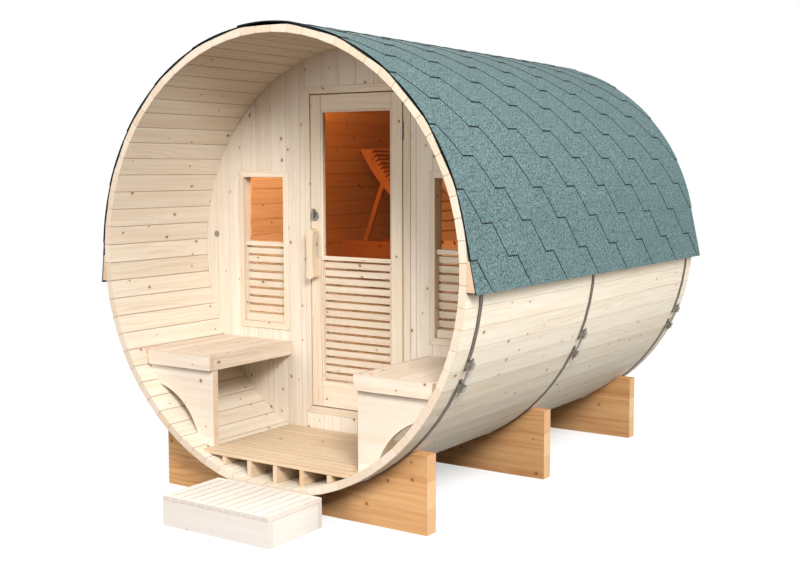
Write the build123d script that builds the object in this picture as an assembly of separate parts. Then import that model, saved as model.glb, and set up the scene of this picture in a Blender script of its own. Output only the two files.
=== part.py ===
from build123d import *
from math import atan2, cos, degrees, radians, sin, sqrt, tan
import os

# A barrel sauna: a lying barrel of tongued staves on three cradles, with a
# recessed porch in front, a room behind and a shingle roof over its upper half.
# Millimetres. X to the right, Y from the porch to the rear, Z up, ground at Z = 0.
# The origin is under the middle of the middle cradle.
# Distances along the barrel are measured from its front rim.
# Heights named "rise" or "drop" are measured up or down from the barrel's axis.

# Barrel
barrel_radius = 1050
stave_thickness = 38
barrel_length = 2500
ground_gap = 96
top_stave_count = 11
side_stave_count = 12
bottom_stave_count = 13
stave_joint_width = 4
stave_joint_depth = 2
seat_gap = 0.3

# Cradles: the outer ones by their gaps to the rims, the middle one by its lead before the middle
front_cradle_gap = 133
middle_cradle_lead = 16
rear_cradle_gap = 164
cradle_thickness = 68
cradle_half_width = 772
cradle_height = 349

# Hoops and their screw tensioners
front_hoop_gap = 118
middle_hoop_lead = 75
rear_hoop_gap = 95
hoop_width = 24
hoop_thickness = 3
tensioner_drop_angle = 24
tensioner_span_angle = 5.6
lug_length = 30
lug_height = 28
rod_radius = 5
rod_sides = 12
nut_radius = 9
nut_length = 10

# Roof of shingles, with a wedge batten under each eave
roof_thickness = 8
right_lift_off_angle = 11.5
left_lift_off_angle = 5
right_eave_drop = 80
left_eave_drop = 142
batten_height = 125
batten_lap = 10

# End walls
porch_depth = 670
end_wall_thickness = 42
rear_wall_setback = 45

# Floors
floor_lift = 105
floor_thickness = 20
floor_setback = 42
joist_width = 24
joist_spacing = 156
joists_each_side = 2

# Doorway and frame
leaf_width = 560
wall_over_doorway = 130.4
wall_under_doorway = 78
leaf_thickness = 40
leaf_gap = 5
frame_width = 38
frame_depth = 66
frame_proud = 8
frame_bevel = 6
stop_width = 12
stop_depth = 20

# Door leaf
stile_width = 75
top_rail_height = 88
middle_rail_height = 20
pane_height = 716
pane_thickness = 5
pane_setback = 24
pane_lap = 8
bottom_rail_height = 131
louvre_count = 15
louvre_gap = 6
louvre_thickness = 10
louvre_tilt = 12
louvre_setback = 20

# Hinges
hinge_rise = 598
hinge_length = 84
hinge_radius = 6
hinge_pin_radius = 3.5
hinge_pin_gap = 0.1
hinge_plate_thickness = 2
hinge_plate_width = 32
hinge_knuckle_gap = 0.5

# Pull handle and thumb turn
handle_length = 254
handle_drop = 7
handle_width = 46
handle_waist = 5
handle_end_round = 14
handle_depth = 26
handle_standoff = 22
handle_top_foot = 36
handle_low_foot = 96
handle_edge_gap = 3
lock_rise = 182
lock_radius = 24
lock_thickness = 6
lock_edge_gap = 26
turn_length = 46
turn_width = 10
turn_depth = 16

# Windows
window_near = 448
window_far = 752
window_top_rise = 392
window_foot_drop = 397
casing_width = 34
casing_proud = 8
casing_inner_depth = 14
window_pane_setback = 42
window_pane_foot_rise = 40
window_rail_height = 24
window_louvre_pitch = 43.6
window_louvre_count = 8

# Vent in the left wall
vent_barrel_gap = 75
vent_rise = 71
vent_radius = 16
vent_thickness = 4

# Porch benches
bench_front = 74
bench_near = 425
bench_drop = 470
seat_thickness = 28
fascia_thickness = 26
fascia_height = 70
fascia_end_gap = 60
panel_thickness = 34
panel_inset = 6
arch_radius = 330
arch_far_angle = 219
arch_near_angle = 238
cleat_height = 45
cleat_depth = 30

# Step in front
step_centre = 10
step_width = 611
step_depth = 350
step_height = 134
step_gap = 12
step_board = 24
step_slat_count = 12
step_slat_width = 41
step_slat_thickness = 20

# Lounger across the room
lounger_wall_gap = 98
lounger_depth = 470
rail_drop = 26
rail_height = 120
rail_thickness = 28
slat_thickness = 22
slat_gap = 10
seat_slat_pitch = 80
curve_slat_pitch = 29
back_foot_reach = 270
back_bend_rise = 324
back_top_rise = 540
back_plank_width = 75
back_bulge = 8
prop_width = 28
prop_thickness = 25
prop_top_inset = 34
prop_top_rise = 372
prop_foot_gap = 142
prop_foot_drop = 90

# Worked out from the sizes above
axis_height = ground_gap + barrel_radius
front_rim = -(barrel_length / 2 - middle_cradle_lead)
rear_rim = front_rim + barrel_length
front_cradle_face = front_rim + front_cradle_gap
middle_cradle_face = -cradle_thickness / 2
rear_cradle_face = rear_rim - rear_cradle_gap - cradle_thickness
front_hoop_middle = front_rim + front_hoop_gap
middle_hoop_middle = front_rim + barrel_length / 2 - middle_hoop_lead
rear_hoop_middle = rear_rim - rear_hoop_gap
hoop_middles = (front_hoop_middle, middle_hoop_middle, rear_hoop_middle)
stave_count = top_stave_count + 4 * side_stave_count + bottom_stave_count
stave_angle = 360 / stave_count
inner_radius = barrel_radius - stave_thickness
shell_radius = barrel_radius + seat_gap
hoop_radius = shell_radius + hoop_thickness
fitted_radius = inner_radius - seat_gap
wall_front = front_rim + porch_depth
wall_back = wall_front + end_wall_thickness
rear_wall_back = rear_rim - rear_wall_setback
rear_wall_front = rear_wall_back - end_wall_thickness
floor_top = axis_height - inner_radius + floor_lift
leaf_left = -leaf_width / 2
leaf_right = leaf_width / 2
doorway_half = leaf_width / 2 + leaf_gap
frame_half = doorway_half + frame_width
frame_bottom = floor_top + wall_under_doorway
frame_top = axis_height + sqrt(fitted_radius ** 2 - frame_half ** 2) - wall_over_doorway
doorway_bottom = frame_bottom + frame_width
doorway_top = frame_top - frame_width
leaf_bottom = doorway_bottom + leaf_gap
leaf_top = doorway_top - leaf_gap
frame_front = wall_front - frame_proud
frame_back = frame_front + frame_depth
leaf_front = frame_front
leaf_back = leaf_front + leaf_thickness
light_left = leaf_left + stile_width
light_right = leaf_right - stile_width
light_top = leaf_top - top_rail_height
light_bottom = light_top - pane_height
louvre_top = light_bottom - middle_rail_height
louvre_bottom = leaf_bottom + bottom_rail_height
louvre_pitch = (louvre_top - louvre_bottom - louvre_gap) / louvre_count


# Helpers

def box(x_low, x_high, y_low, y_high, z_low, z_high):
    """A block between two values on each axis."""
    centre = ((x_low + x_high) / 2, (y_low + y_high) / 2, (z_low + z_high) / 2)
    return Pos(*centre) * Box(x_high - x_low, y_high - y_low, z_high - z_low)


def prism(points, y_low, y_high):
    """A straight-sided outline in X and Z, run along Y."""
    outline = Polyline(*[(x, y_low, z) for x, z in points], close=True)
    return extrude(make_face(outline), amount=y_high - y_low, dir=(0, 1, 0))


def barrel_cylinder(radius, y_low, y_high):
    """A round bar on the barrel's axis."""
    middle = Pos(0, (y_low + y_high) / 2, axis_height)
    return middle * Rot(90, 0, 0) * Cylinder(radius, y_high - y_low)


def barrel_point(radius, angle):
    """A point in X and Z on a circle round the barrel's axis, angle 0 at +X."""
    return (radius * cos(radians(angle)), axis_height + radius * sin(radians(angle)))


def barrel_half_width(drop):
    """Half the barrel's width inside, at a drop or rise from its axis."""
    return sqrt(fitted_radius ** 2 - drop ** 2)


def mirrored(solid):
    """The same piece on the other side of the barrel."""
    return mirror(solid, about=Plane.YZ)


def y_cylinder(x, y_low, y_high, z, radius):
    """A round bar along Y."""
    return Pos(x, (y_low + y_high) / 2, z) * Rot(90, 0, 0) * Cylinder(radius, y_high - y_low)


def z_cylinder(x, y, z_low, z_high, radius):
    """A round bar along Z."""
    return Pos(x, y, (z_low + z_high) / 2) * Cylinder(radius, z_high - z_low)


# Barrel wall, in segments of whole staves

def barrel_segment(first_angle, staves):
    """Staves side by side: flat inside and outside, with a V joint inside between neighbours."""
    inner_corner = inner_radius / cos(radians(stave_angle / 2))
    half_joint = degrees(stave_joint_width / 2 / inner_radius)
    angles = [first_angle + step * stave_angle for step in range(staves + 1)]
    outer = [barrel_point(barrel_radius, angle) for angle in angles]
    inner = [barrel_point(inner_corner, angles[-1])]
    for angle in reversed(angles[1:-1]):
        inner.append(stave_face_point(angle + half_joint, angle + stave_angle / 2))
        inner.append(barrel_point(inner_corner + stave_joint_depth, angle))
        inner.append(stave_face_point(angle - half_joint, angle - stave_angle / 2))
    inner.append(barrel_point(inner_corner, angles[0]))
    return prism(outer + inner, front_rim, rear_rim)


def stave_face_point(angle, stave_middle):
    """A point on the inner face of the stave whose middle is at an angle."""
    return barrel_point(inner_radius / cos(radians(angle - stave_middle)), angle)


def barrel_segments():
    """Six segments round the barrel, alike left and right."""
    segments = {}
    angle = 90 - top_stave_count * stave_angle / 2
    names = [("barrel_top", top_stave_count), ("barrel_upper_left", side_stave_count),
             ("barrel_lower_left", side_stave_count), ("barrel_bottom", bottom_stave_count),
             ("barrel_lower_right", side_stave_count), ("barrel_upper_right", side_stave_count)]
    for name, staves in names:
        segments[name] = barrel_segment(angle, staves)
        angle += staves * stave_angle
    return segments


# Cradles

def cradle(front):
    """A thick board on edge, cut out to the barrel that lies in it."""
    board = box(-cradle_half_width, cradle_half_width, front, front + cradle_thickness,
                0, cradle_height)
    return board - barrel_cylinder(shell_radius, front - 1, front + cradle_thickness + 1)


# Hoops

def band_outline(radius):
    """The barrel's outline in flats, with its corners at a radius."""
    first = 90 + top_stave_count * stave_angle / 2
    return [barrel_point(radius, first + step * stave_angle) for step in range(stave_count)]


def lug(y, angle):
    """A block that stands on the band's end and takes the tensioner's rod."""
    height = lug_height + 2 * hoop_thickness
    x, z = barrel_point(hoop_radius + lug_height - height / 2, angle)
    block = Pos(x, y, z) * Rot(0, -angle, 0) * Box(height, hoop_width, lug_length)
    return block - prism(band_outline(hoop_radius), y - hoop_width, y + hoop_width)


def tensioner(y, angle):
    """Two lugs drawn together by a threaded rod, with a hexagon nut outside each."""
    half_span = tensioner_span_angle / 2
    radius = hoop_radius + lug_height / 2
    reach = radius * sin(radians(half_span)) + lug_length / 2
    x, z = barrel_point(radius * cos(radians(half_span)), angle)
    middle = Pos(x, y, z) * Rot(0, -angle, 0)
    body = lug(y, angle - half_span) + lug(y, angle + half_span)
    rod = RegularPolygon(rod_radius, rod_sides)
    body += middle * extrude(rod, amount=reach + 2 * nut_length, both=True)
    nut = extrude(RegularPolygon(nut_radius, 6), amount=nut_length / 2, both=True)
    for end in (-1, 1):
        body += middle * Pos(0, 0, end * (reach + nut_length / 2)) * nut
    return body


def tensioners():
    """A tensioner on each side of each hoop."""
    right = [tensioner(y, -tensioner_drop_angle) for y in hoop_middles]
    return Compound(right + [mirrored(piece) for piece in right])


def hoop(y):
    """A steel band in two arcs, open between the lugs on each side."""
    y_low, y_high = y - hoop_width / 2, y + hoop_width / 2
    band = (prism(band_outline(hoop_radius), y_low, y_high)
            - prism(band_outline(shell_radius), y_low - 1, y_high + 1))
    gap_angle = tensioner_span_angle / 2
    reach = barrel_radius * 1.2
    right = -tensioner_drop_angle
    gap = prism([barrel_point(barrel_radius * 0.9, right), barrel_point(reach, right - gap_angle),
                 barrel_point(reach, right + gap_angle)], y_low - 1, y_high + 1)
    return band - gap - mirrored(gap)


def hoop_grooves(piece):
    """A piece that lies over the hoops, with room for each band cut into it."""
    for y in hoop_middles:
        y_low, y_high = y - hoop_width / 2 - 1, y + hoop_width / 2 + 1
        piece -= barrel_cylinder(hoop_radius + seat_gap, y_low, y_high)
    return piece


# Roof

def roof_half(lift_off_angle, eave_drop):
    """The right half of the shingle skin: round over the barrel, then straight off it."""
    outer_radius = shell_radius + roof_thickness
    slope = tan(radians(lift_off_angle))
    eave = axis_height - eave_drop
    outer_x, outer_z = barrel_point(outer_radius, lift_off_angle)
    inner_x, inner_z = barrel_point(shell_radius, lift_off_angle)
    half_turn = (90 + lift_off_angle) / 2
    y = front_rim
    outer_foot = (outer_x + (outer_z - eave) * slope, y, eave)
    inner_foot = (inner_x + (inner_z - eave) * slope, y, eave)
    spots = {}
    for name, radius in (("outer", outer_radius), ("inner", shell_radius)):
        spots[name] = [(x, y, z) for x, z in (barrel_point(radius, 90),
                                              barrel_point(radius, half_turn),
                                              barrel_point(radius, lift_off_angle))]
    edges = [ThreePointArc(*spots["outer"]), Line(spots["outer"][2], outer_foot),
             Line(outer_foot, inner_foot), Line(inner_foot, spots["inner"][2]),
             ThreePointArc(*spots["inner"]), Line(spots["inner"][0], spots["outer"][0])]
    skin = extrude(make_face(edges), amount=barrel_length, dir=(0, 1, 0))
    return hoop_grooves(skin)


def eave_batten(lift_off_angle, eave_drop):
    """A wedge that fills the angle between the barrel and the lifted skin."""
    slope = tan(radians(lift_off_angle))
    lift_x, lift_z = barrel_point(shell_radius, lift_off_angle)
    foot = axis_height - eave_drop + batten_lap
    head = foot + batten_height
    foot_x = lift_x + (lift_z - foot) * slope - seat_gap
    head_x = lift_x + (lift_z - head) * slope - seat_gap
    inside = barrel_radius * 0.9
    wedge = prism([(inside, foot), (foot_x, foot), (head_x, head), (inside, head)],
                  front_rim, rear_rim)
    wedge -= barrel_cylinder(shell_radius, front_rim - 1, rear_rim + 1)
    return hoop_grooves(wedge)


# End walls

def wall_disc(y_low, y_high):
    """A wall of boards cut to the barrel's inside."""
    return barrel_cylinder(fitted_radius, y_low, y_high)


def front_wall_piece(x_low, x_high, z_low, z_high):
    """The part of the front wall between four lines."""
    window = box(x_low, x_high, wall_front - 1, wall_back + 1, z_low, z_high)
    return wall_disc(wall_front, wall_back) & window


def front_wall():
    """The wall beside, over and under the doorway, with its two windows cut through."""
    low, high = axis_height - barrel_radius, axis_height + barrel_radius
    right = front_wall_piece(frame_half, barrel_radius, low, high)
    right -= box(window_near, window_far, wall_front - 1, wall_back + 1,
                 axis_height - window_foot_drop, axis_height + window_top_rise)
    return {"wall_left": mirrored(right), "wall_right": right,
            "wall_over_door": front_wall_piece(-frame_half, frame_half, frame_top, high),
            "wall_under_door": front_wall_piece(-frame_half, frame_half, low, frame_bottom)}


# Floors

def floors():
    """Porch floor, room floor, and the joists that carry them on the staves."""
    top, under = floor_top, floor_top - floor_thickness
    space = barrel_cylinder(fitted_radius, front_rim, rear_rim)
    reach = barrel_radius
    porch = box(-reach, reach, front_rim + floor_setback, wall_front, under, top) & space
    room = box(-reach, reach, wall_back, rear_wall_front, under, top) & space
    joists = []
    for number in range(-joists_each_side, joists_each_side + 1):
        x = number * joist_spacing
        for y_low, y_high in ((front_rim + floor_setback, wall_front), (wall_back, rear_wall_front)):
            bar = box(x - joist_width / 2, x + joist_width / 2, y_low, y_high, 0, under)
            joists.append(bar & space)
    return {"porch_floor": porch, "room_floor": room, "floor_joists": Compound(joists)}


# Door frame

def frame_block():
    """The frame's outer block: its front face slopes back from the doorway to its outer edges."""
    edge = frame_front + frame_bevel
    across = [(-frame_half, edge, 0), (-doorway_half, frame_front, 0), (doorway_half, frame_front, 0),
              (frame_half, edge, 0), (frame_half, frame_back, 0), (-frame_half, frame_back, 0)]
    upward = [(0, edge, frame_bottom), (0, frame_front, doorway_bottom), (0, frame_front, doorway_top),
              (0, edge, frame_top), (0, frame_back, frame_top), (0, frame_back, frame_bottom)]
    block = extrude(make_face(Polyline(*across, close=True)), amount=frame_top, dir=(0, 0, 1))
    block &= extrude(make_face(Polyline(*upward, close=True)), amount=frame_half, both=True)
    return block - box(-doorway_half, doorway_half, frame_front - 1, frame_back + 1,
                       doorway_bottom, doorway_top)


def mitred_side(corners):
    """One side of the frame between two outer and two inner corners, mitred at both ends."""
    return frame_block() & prism(corners, frame_front - 1, frame_back + 1)


def door_frame():
    """Two jambs, a head and a threshold, mitred, with strips that the leaf closes against."""
    stop_front = frame_back - stop_depth
    inner_top = doorway_top - stop_width
    jamb = mitred_side([(frame_half, frame_top), (doorway_half, doorway_top),
                        (doorway_half, doorway_bottom), (frame_half, frame_bottom)])
    jamb += box(doorway_half - stop_width, doorway_half, stop_front, frame_back,
                doorway_bottom, doorway_top)
    head = mitred_side([(-frame_half, frame_top), (frame_half, frame_top),
                        (doorway_half, doorway_top), (-doorway_half, doorway_top)])
    head += box(-doorway_half + stop_width, doorway_half - stop_width, stop_front, frame_back,
                inner_top, doorway_top)
    sill = mitred_side([(-frame_half, frame_bottom), (frame_half, frame_bottom),
                        (doorway_half, doorway_bottom), (-doorway_half, doorway_bottom)])
    return {"door_jambs": Compound([jamb, mirrored(jamb)]), "door_head": head,
            "door_threshold": sill}


# Door leaf

def louvres(x_low, x_high, top, count, pitch, y_front):
    """Tilted slats one over the other, each with a gap above it."""
    slats = []
    for number in range(count):
        z = top - louvre_gap / 2 - (number + 0.5) * pitch
        slat = Box(x_high - x_low, louvre_thickness, pitch - louvre_gap)
        place = Pos((x_low + x_high) / 2, y_front + louvre_thickness, z)
        slats.append(place * Rot(louvre_tilt, 0, 0) * slat)
    return Compound(slats)


def door_leaf():
    """Stiles and rails round a pane and a field of louvres."""
    leaf = box(leaf_left, leaf_right, leaf_front, leaf_back, leaf_bottom, leaf_top)
    leaf -= box(light_left, light_right, leaf_front - 1, leaf_back + 1, light_bottom, light_top)
    leaf -= box(light_left, light_right, leaf_front - 1, leaf_back + 1, louvre_bottom, louvre_top)
    pane_front = leaf_front + pane_setback
    leaf -= box(light_left - pane_lap, light_right + pane_lap, pane_front, leaf_back + 1,
                light_bottom - pane_lap, light_top + pane_lap)
    return leaf


def door_glass():
    """The pane, in the rebate behind the stiles."""
    pane_front = leaf_front + pane_setback
    return box(light_left - pane_lap, light_right + pane_lap, pane_front,
               pane_front + pane_thickness, light_bottom - pane_lap, light_top + pane_lap)


def door_handle():
    """A wooden bar with round ends and a waist, hollowed behind in an arc for the fingers."""
    x = leaf_left + handle_edge_gap + handle_width / 2
    middle = axis_height - handle_drop
    high, low = middle + handle_length / 2, middle - handle_length / 2
    shoulder, hip = high - handle_end_round, low + handle_end_round
    front = leaf_front - handle_standoff - handle_depth
    right, left = x + handle_width / 2, x - handle_width / 2
    outline = [ThreePointArc((left, front, shoulder), (x, front, high), (right, front, shoulder)),
               ThreePointArc((right, front, shoulder), (right - handle_waist, front, middle),
                             (right, front, hip)),
               ThreePointArc((right, front, hip), (x, front, low), (left, front, hip)),
               ThreePointArc((left, front, hip), (left + handle_waist, front, middle),
                             (left, front, shoulder))]
    bar = extrude(make_face(outline), amount=leaf_front - front, dir=(0, 1, 0))
    hollow_top, hollow_foot = high - handle_top_foot, low + handle_low_foot
    half_hollow = (hollow_top - hollow_foot) / 2
    radius = (half_hollow ** 2 + handle_standoff ** 2) / (2 * handle_standoff)
    hollow = Pos(x, leaf_front - handle_standoff + radius, hollow_foot + half_hollow)
    return bar - hollow * Rot(0, 90, 0) * Cylinder(radius, 2 * handle_width)


def door_lock():
    """A round plate with a thumb turn."""
    x = leaf_left + lock_edge_gap
    z = axis_height + lock_rise
    plate = y_cylinder(x, leaf_front - lock_thickness, leaf_front, z, lock_radius)
    turn = box(x - turn_width / 2, x + turn_width / 2, leaf_front - lock_thickness - turn_depth,
               leaf_front - lock_thickness, z - turn_width, z + turn_length - turn_width)
    return plate + turn


# Hinges

hinge_x = leaf_right + leaf_gap / 2
hinge_y = frame_front - hinge_radius
hinge_heights = (axis_height - hinge_rise, axis_height + hinge_rise)
knuckle_length = hinge_length / 3


def hinge_plate(x_low, z):
    """A plate in the gap beside the leaf, from the knuckle back."""
    return box(x_low, x_low + hinge_plate_thickness, hinge_y, hinge_y + hinge_plate_width,
               z - hinge_length / 2, z + hinge_length / 2)


def hinge_wing(z):
    """The leaf's plate with the middle knuckle, bored for the pin."""
    z_low = z - knuckle_length / 2 + hinge_knuckle_gap
    z_high = z + knuckle_length / 2 - hinge_knuckle_gap
    plate = hinge_plate(leaf_right, z)
    room = hinge_radius + 2 * hinge_pin_gap
    for low, high in ((z - hinge_length, z_low), (z_high, z + hinge_length)):
        plate -= z_cylinder(hinge_x, hinge_y, low, high, room)
    bore = z_cylinder(hinge_x, hinge_y, z_low - 1, z_high + 1, hinge_pin_radius + hinge_pin_gap)
    return plate + z_cylinder(hinge_x, hinge_y, z_low, z_high, hinge_radius) - bore


def hinge_pin(z):
    """The jamb's plate with the outer knuckles and the pin through all three."""
    low, high = z - hinge_length / 2, z + hinge_length / 2
    plate = hinge_plate(doorway_half - hinge_plate_thickness, z)
    plate -= z_cylinder(hinge_x, hinge_y, z - knuckle_length / 2, z + knuckle_length / 2,
                        hinge_radius + 2 * hinge_pin_gap)
    part = plate + z_cylinder(hinge_x, hinge_y, low, high, hinge_pin_radius)
    for z_low in (low, high - knuckle_length):
        part += z_cylinder(hinge_x, hinge_y, z_low, z_low + knuckle_length, hinge_radius)
    return part


def door():
    """The leaf and all that moves with it."""
    return {"door_leaf": door_leaf(), "door_glass": door_glass(),
            "door_louvres": louvres(light_left, light_right, louvre_top, louvre_count,
                                    louvre_pitch, leaf_front + louvre_setback / 2),
            "door_handle": door_handle(), "door_lock": door_lock(),
            "door_hinge_wings": Compound([hinge_wing(z) for z in hinge_heights])}


# Windows

def window_frame():
    """The right casing: a lining through the wall with a flat border in front."""
    foot, top = axis_height - window_foot_drop, axis_height + window_top_rise
    back = wall_back + casing_inner_depth
    lining = box(window_near, window_far, wall_front - casing_proud, back, foot, top)
    border = box(window_near - casing_width / 2, window_far + casing_width / 2,
                 wall_front - casing_proud, wall_front,
                 foot - casing_width / 2, top + casing_width / 2)
    half = casing_width / 2
    hole = box(window_near + half, window_far - half, wall_front - casing_proud - 1, back + 1,
               foot + half, top - half)
    head = axis_height + window_pane_foot_rise
    louvre_foot = head - window_rail_height - window_louvre_count * window_louvre_pitch - louvre_gap
    rails = []
    for z_low, z_high in ((head - window_rail_height, head), (foot + half, louvre_foot)):
        rails.append(box(window_near + half, window_far - half, wall_front + casing_proud, back,
                         z_low, z_high))
    return lining + border - hole + rails[0] + rails[1] - window_pane()


def window_pane():
    """The right pane, let into its casing."""
    front = wall_front + window_pane_setback
    half = casing_width / 2
    return box(window_near + half - pane_lap, window_far - half + pane_lap, front,
               front + pane_thickness, axis_height + window_pane_foot_rise - pane_lap,
               axis_height + window_top_rise - half + pane_lap)


def windows():
    """Both windows: casings, panes and louvres."""
    half = casing_width / 2
    top = axis_height + window_pane_foot_rise - window_rail_height
    slats = louvres(window_near + half, window_far - half, top, window_louvre_count,
                    window_louvre_pitch, wall_front + louvre_setback)
    return {"window_frames": Compound([window_frame(), mirrored(window_frame())]),
            "window_glass": Compound([window_pane(), mirrored(window_pane())]),
            "window_louvres": Compound(list(slats.solids()) + list(mirrored(slats).solids()))}


def wall_vent():
    """A round vent cover on the left wall."""
    x = -barrel_half_width(vent_rise) + vent_barrel_gap
    return y_cylinder(x, wall_front - vent_thickness, wall_front, axis_height + vent_rise, vent_radius)


# Porch benches

def bench_panel():
    """The right bench's front board: square to the aisle, cut to the barrel and arched."""
    front = front_rim + bench_front + fascia_thickness
    low, high = floor_top, axis_height - bench_drop - seat_thickness
    board = box(bench_near + panel_inset, barrel_radius, front, front + panel_thickness, low, high)
    board &= barrel_cylinder(fitted_radius, front, front + panel_thickness)
    start = barrel_point(fitted_radius, arch_near_angle)
    end = barrel_point(fitted_radius, arch_far_angle)
    middle_x, middle_z = (start[0] + end[0]) / 2, (start[1] + end[1]) / 2
    half_chord = sqrt((start[0] - end[0]) ** 2 + (start[1] - end[1]) ** 2) / 2
    chord_angle = (arch_near_angle + arch_far_angle) / 2
    reach = sqrt(arch_radius ** 2 - half_chord ** 2)
    centre_x = middle_x + reach * cos(radians(chord_angle))
    centre_z = middle_z + reach * sin(radians(chord_angle))
    arch = y_cylinder(-centre_x, front - 1, front + panel_thickness + 1, centre_z, arch_radius)
    return board - arch


def bench_seat():
    """The right seat: planks from the front fascia to the wall."""
    top = axis_height - bench_drop
    plank = box(bench_near + fascia_thickness, barrel_radius, front_rim + bench_front + fascia_thickness,
                wall_front, top - seat_thickness, top)
    return plank & barrel_cylinder(fitted_radius, front_rim, wall_front)


def bench_fascia():
    """The right bench's edge boards, along the front and along the aisle."""
    top = axis_height - bench_drop
    front = front_rim + bench_front
    low = top - fascia_height
    far = barrel_half_width(bench_drop) - fascia_end_gap
    across = box(bench_near, far, front, front + fascia_thickness, low, top)
    aisle = box(bench_near, bench_near + fascia_thickness, front, wall_front, low, top)
    post_notch = box(bench_near + panel_inset, far, front + fascia_thickness,
                     front + fascia_thickness + panel_thickness, low - 1, top - seat_thickness)
    return across + (aisle - post_notch)


def bench_cleat():
    """A bar on the wall under the right seat's back end."""
    high = axis_height - bench_drop - seat_thickness
    bar = box(bench_near + fascia_thickness, barrel_radius, wall_front - cleat_depth, wall_front,
              high - cleat_height, high)
    return bar & barrel_cylinder(fitted_radius, front_rim, wall_front)


def benches():
    """Both porch benches."""
    pieces = {"bench_seat": bench_seat(), "bench_fascia": bench_fascia(),
              "bench_panel": bench_panel()}
    nodes = {}
    for name, piece in pieces.items():
        nodes["right_" + name] = piece
        nodes["left_" + name] = mirrored(piece)
    nodes["bench_cleats"] = Compound([bench_cleat(), mirrored(bench_cleat())])
    return nodes


# Step

def step():
    """A box of four boards on the ground, with slats let into its front and back boards."""
    y_high = front_rim - step_gap
    y_low = y_high - step_depth
    x_low, x_high = step_centre - step_width / 2, step_centre + step_width / 2
    under = step_height - step_slat_thickness
    frame = box(x_low, x_high, y_low, y_high, 0, under)
    frame -= box(x_low + step_board, x_high - step_board, y_low + step_board, y_high - step_board,
                 -1, under + 1)
    for y in (y_low, y_high - step_board):
        frame += box(x_low, x_high, y, y + step_board, under, step_height)
    pitch = (step_width - step_slat_width) / (step_slat_count - 1)
    slats = []
    for number in range(step_slat_count):
        x = x_low + number * pitch
        slats.append(box(x, x + step_slat_width, y_low, y_high, under, step_height))
        frame -= slats[-1]
    return {"step_box": frame, "step_slats": Compound(slats)}


# Lounger

rail_top = axis_height - rail_drop
lounger_back_y = rear_wall_front - lounger_wall_gap
lounger_front_y = lounger_back_y - lounger_depth


def lounger_rails():
    """A board across the room in front of the lounger and one behind it."""
    space = barrel_cylinder(fitted_radius, front_rim, rear_rim)
    rails = []
    for y in (lounger_front_y, lounger_back_y - rail_thickness):
        rails.append(box(-barrel_radius, barrel_radius, y, y + rail_thickness,
                         rail_top - rail_height, rail_top) & space)
    return Compound(rails)


def back_curve():
    """The backrest's line: straight at 45 degrees from the rail, then steeper to the wall."""
    foot = (-back_foot_reach, rail_top)
    bend_rise = axis_height + back_bend_rise
    bend = (foot[0] - (bend_rise - rail_top), bend_rise)
    top_rise = axis_height + back_top_rise
    top = (-barrel_half_width(back_top_rise) + back_plank_width, top_rise)
    chord = (top[0] - bend[0], top[1] - bend[1])
    length = sqrt(chord[0] ** 2 + chord[1] ** 2)
    middle = ((bend[0] + top[0]) / 2 + back_bulge * chord[1] / length * -1,
              (bend[1] + top[1]) / 2 + back_bulge * chord[0] / length)
    return foot, bend, middle, top


def shifted(point, dx):
    """A point moved along X."""
    return (point[0] + dx, point[1])


def back_plank(y):
    """A side plank of the backrest, with the backrest's curve along both edges."""
    foot, bend, middle, top = back_curve()
    lower = [shifted(point, -back_plank_width) for point in (foot, bend, middle, top)]
    near = [(x, y, z) for x, z in (foot, bend, middle, top)]
    far = [(x, y, z) for x, z in lower]
    edges = [Line(near[0], near[1]), ThreePointArc(near[1], near[2], near[3]),
             Line(near[3], far[3]), ThreePointArc(far[3], far[2], far[1]),
             Line(far[1], far[0]), Line(far[0], near[0])]
    return extrude(make_face(edges), amount=rail_thickness, dir=(0, 1, 0))


def back_planks():
    """The side planks, one over each rail."""
    return Compound([back_plank(lounger_front_y), back_plank(lounger_back_y - rail_thickness)])


def slat_on(x, z, lean, width):
    """A slat along Y that lies on a line through x and z, leaning by an angle."""
    across = Box(width, lounger_depth, slat_thickness)
    lift = slat_thickness / 2 + seat_gap
    place = Pos(x, (lounger_front_y + lounger_back_y) / 2, z)
    return place * Rot(0, -lean, 0) * Pos(0, 0, lift) * across


def lounger_slats():
    """Wide slats over the seat and the straight of the back, narrow ones round its curve."""
    foot, bend, middle, top = back_curve()
    slats = []
    seat_end = barrel_half_width(0) - seat_slat_pitch
    x = foot[0] + slat_thickness + seat_slat_pitch / 2
    while x < seat_end + seat_slat_pitch / 2:
        slats.append(slat_on(x, rail_top - seat_gap, 0, seat_slat_pitch - slat_gap))
        x += seat_slat_pitch
    straight = sqrt((bend[0] - foot[0]) ** 2 + (bend[1] - foot[1]) ** 2)
    count = int(straight // seat_slat_pitch)
    for number in range(count):
        share = (number + 0.5) * seat_slat_pitch / straight
        slats.append(slat_on(foot[0] + share * (bend[0] - foot[0]),
                             foot[1] + share * (bend[1] - foot[1]), 135 - 180,
                             seat_slat_pitch - slat_gap))
    curve = ThreePointArc(bend, middle, top)
    narrow = int(curve.length // curve_slat_pitch)
    for number in range(narrow):
        share = (number + 0.5) / narrow
        point = curve @ share
        along = curve % share
        lean = degrees(atan2(along.Y, along.X)) - 180
        slats.append(slat_on(point.X, point.Y, lean, curve_slat_pitch - slat_gap))
    return Compound(slats)


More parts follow.
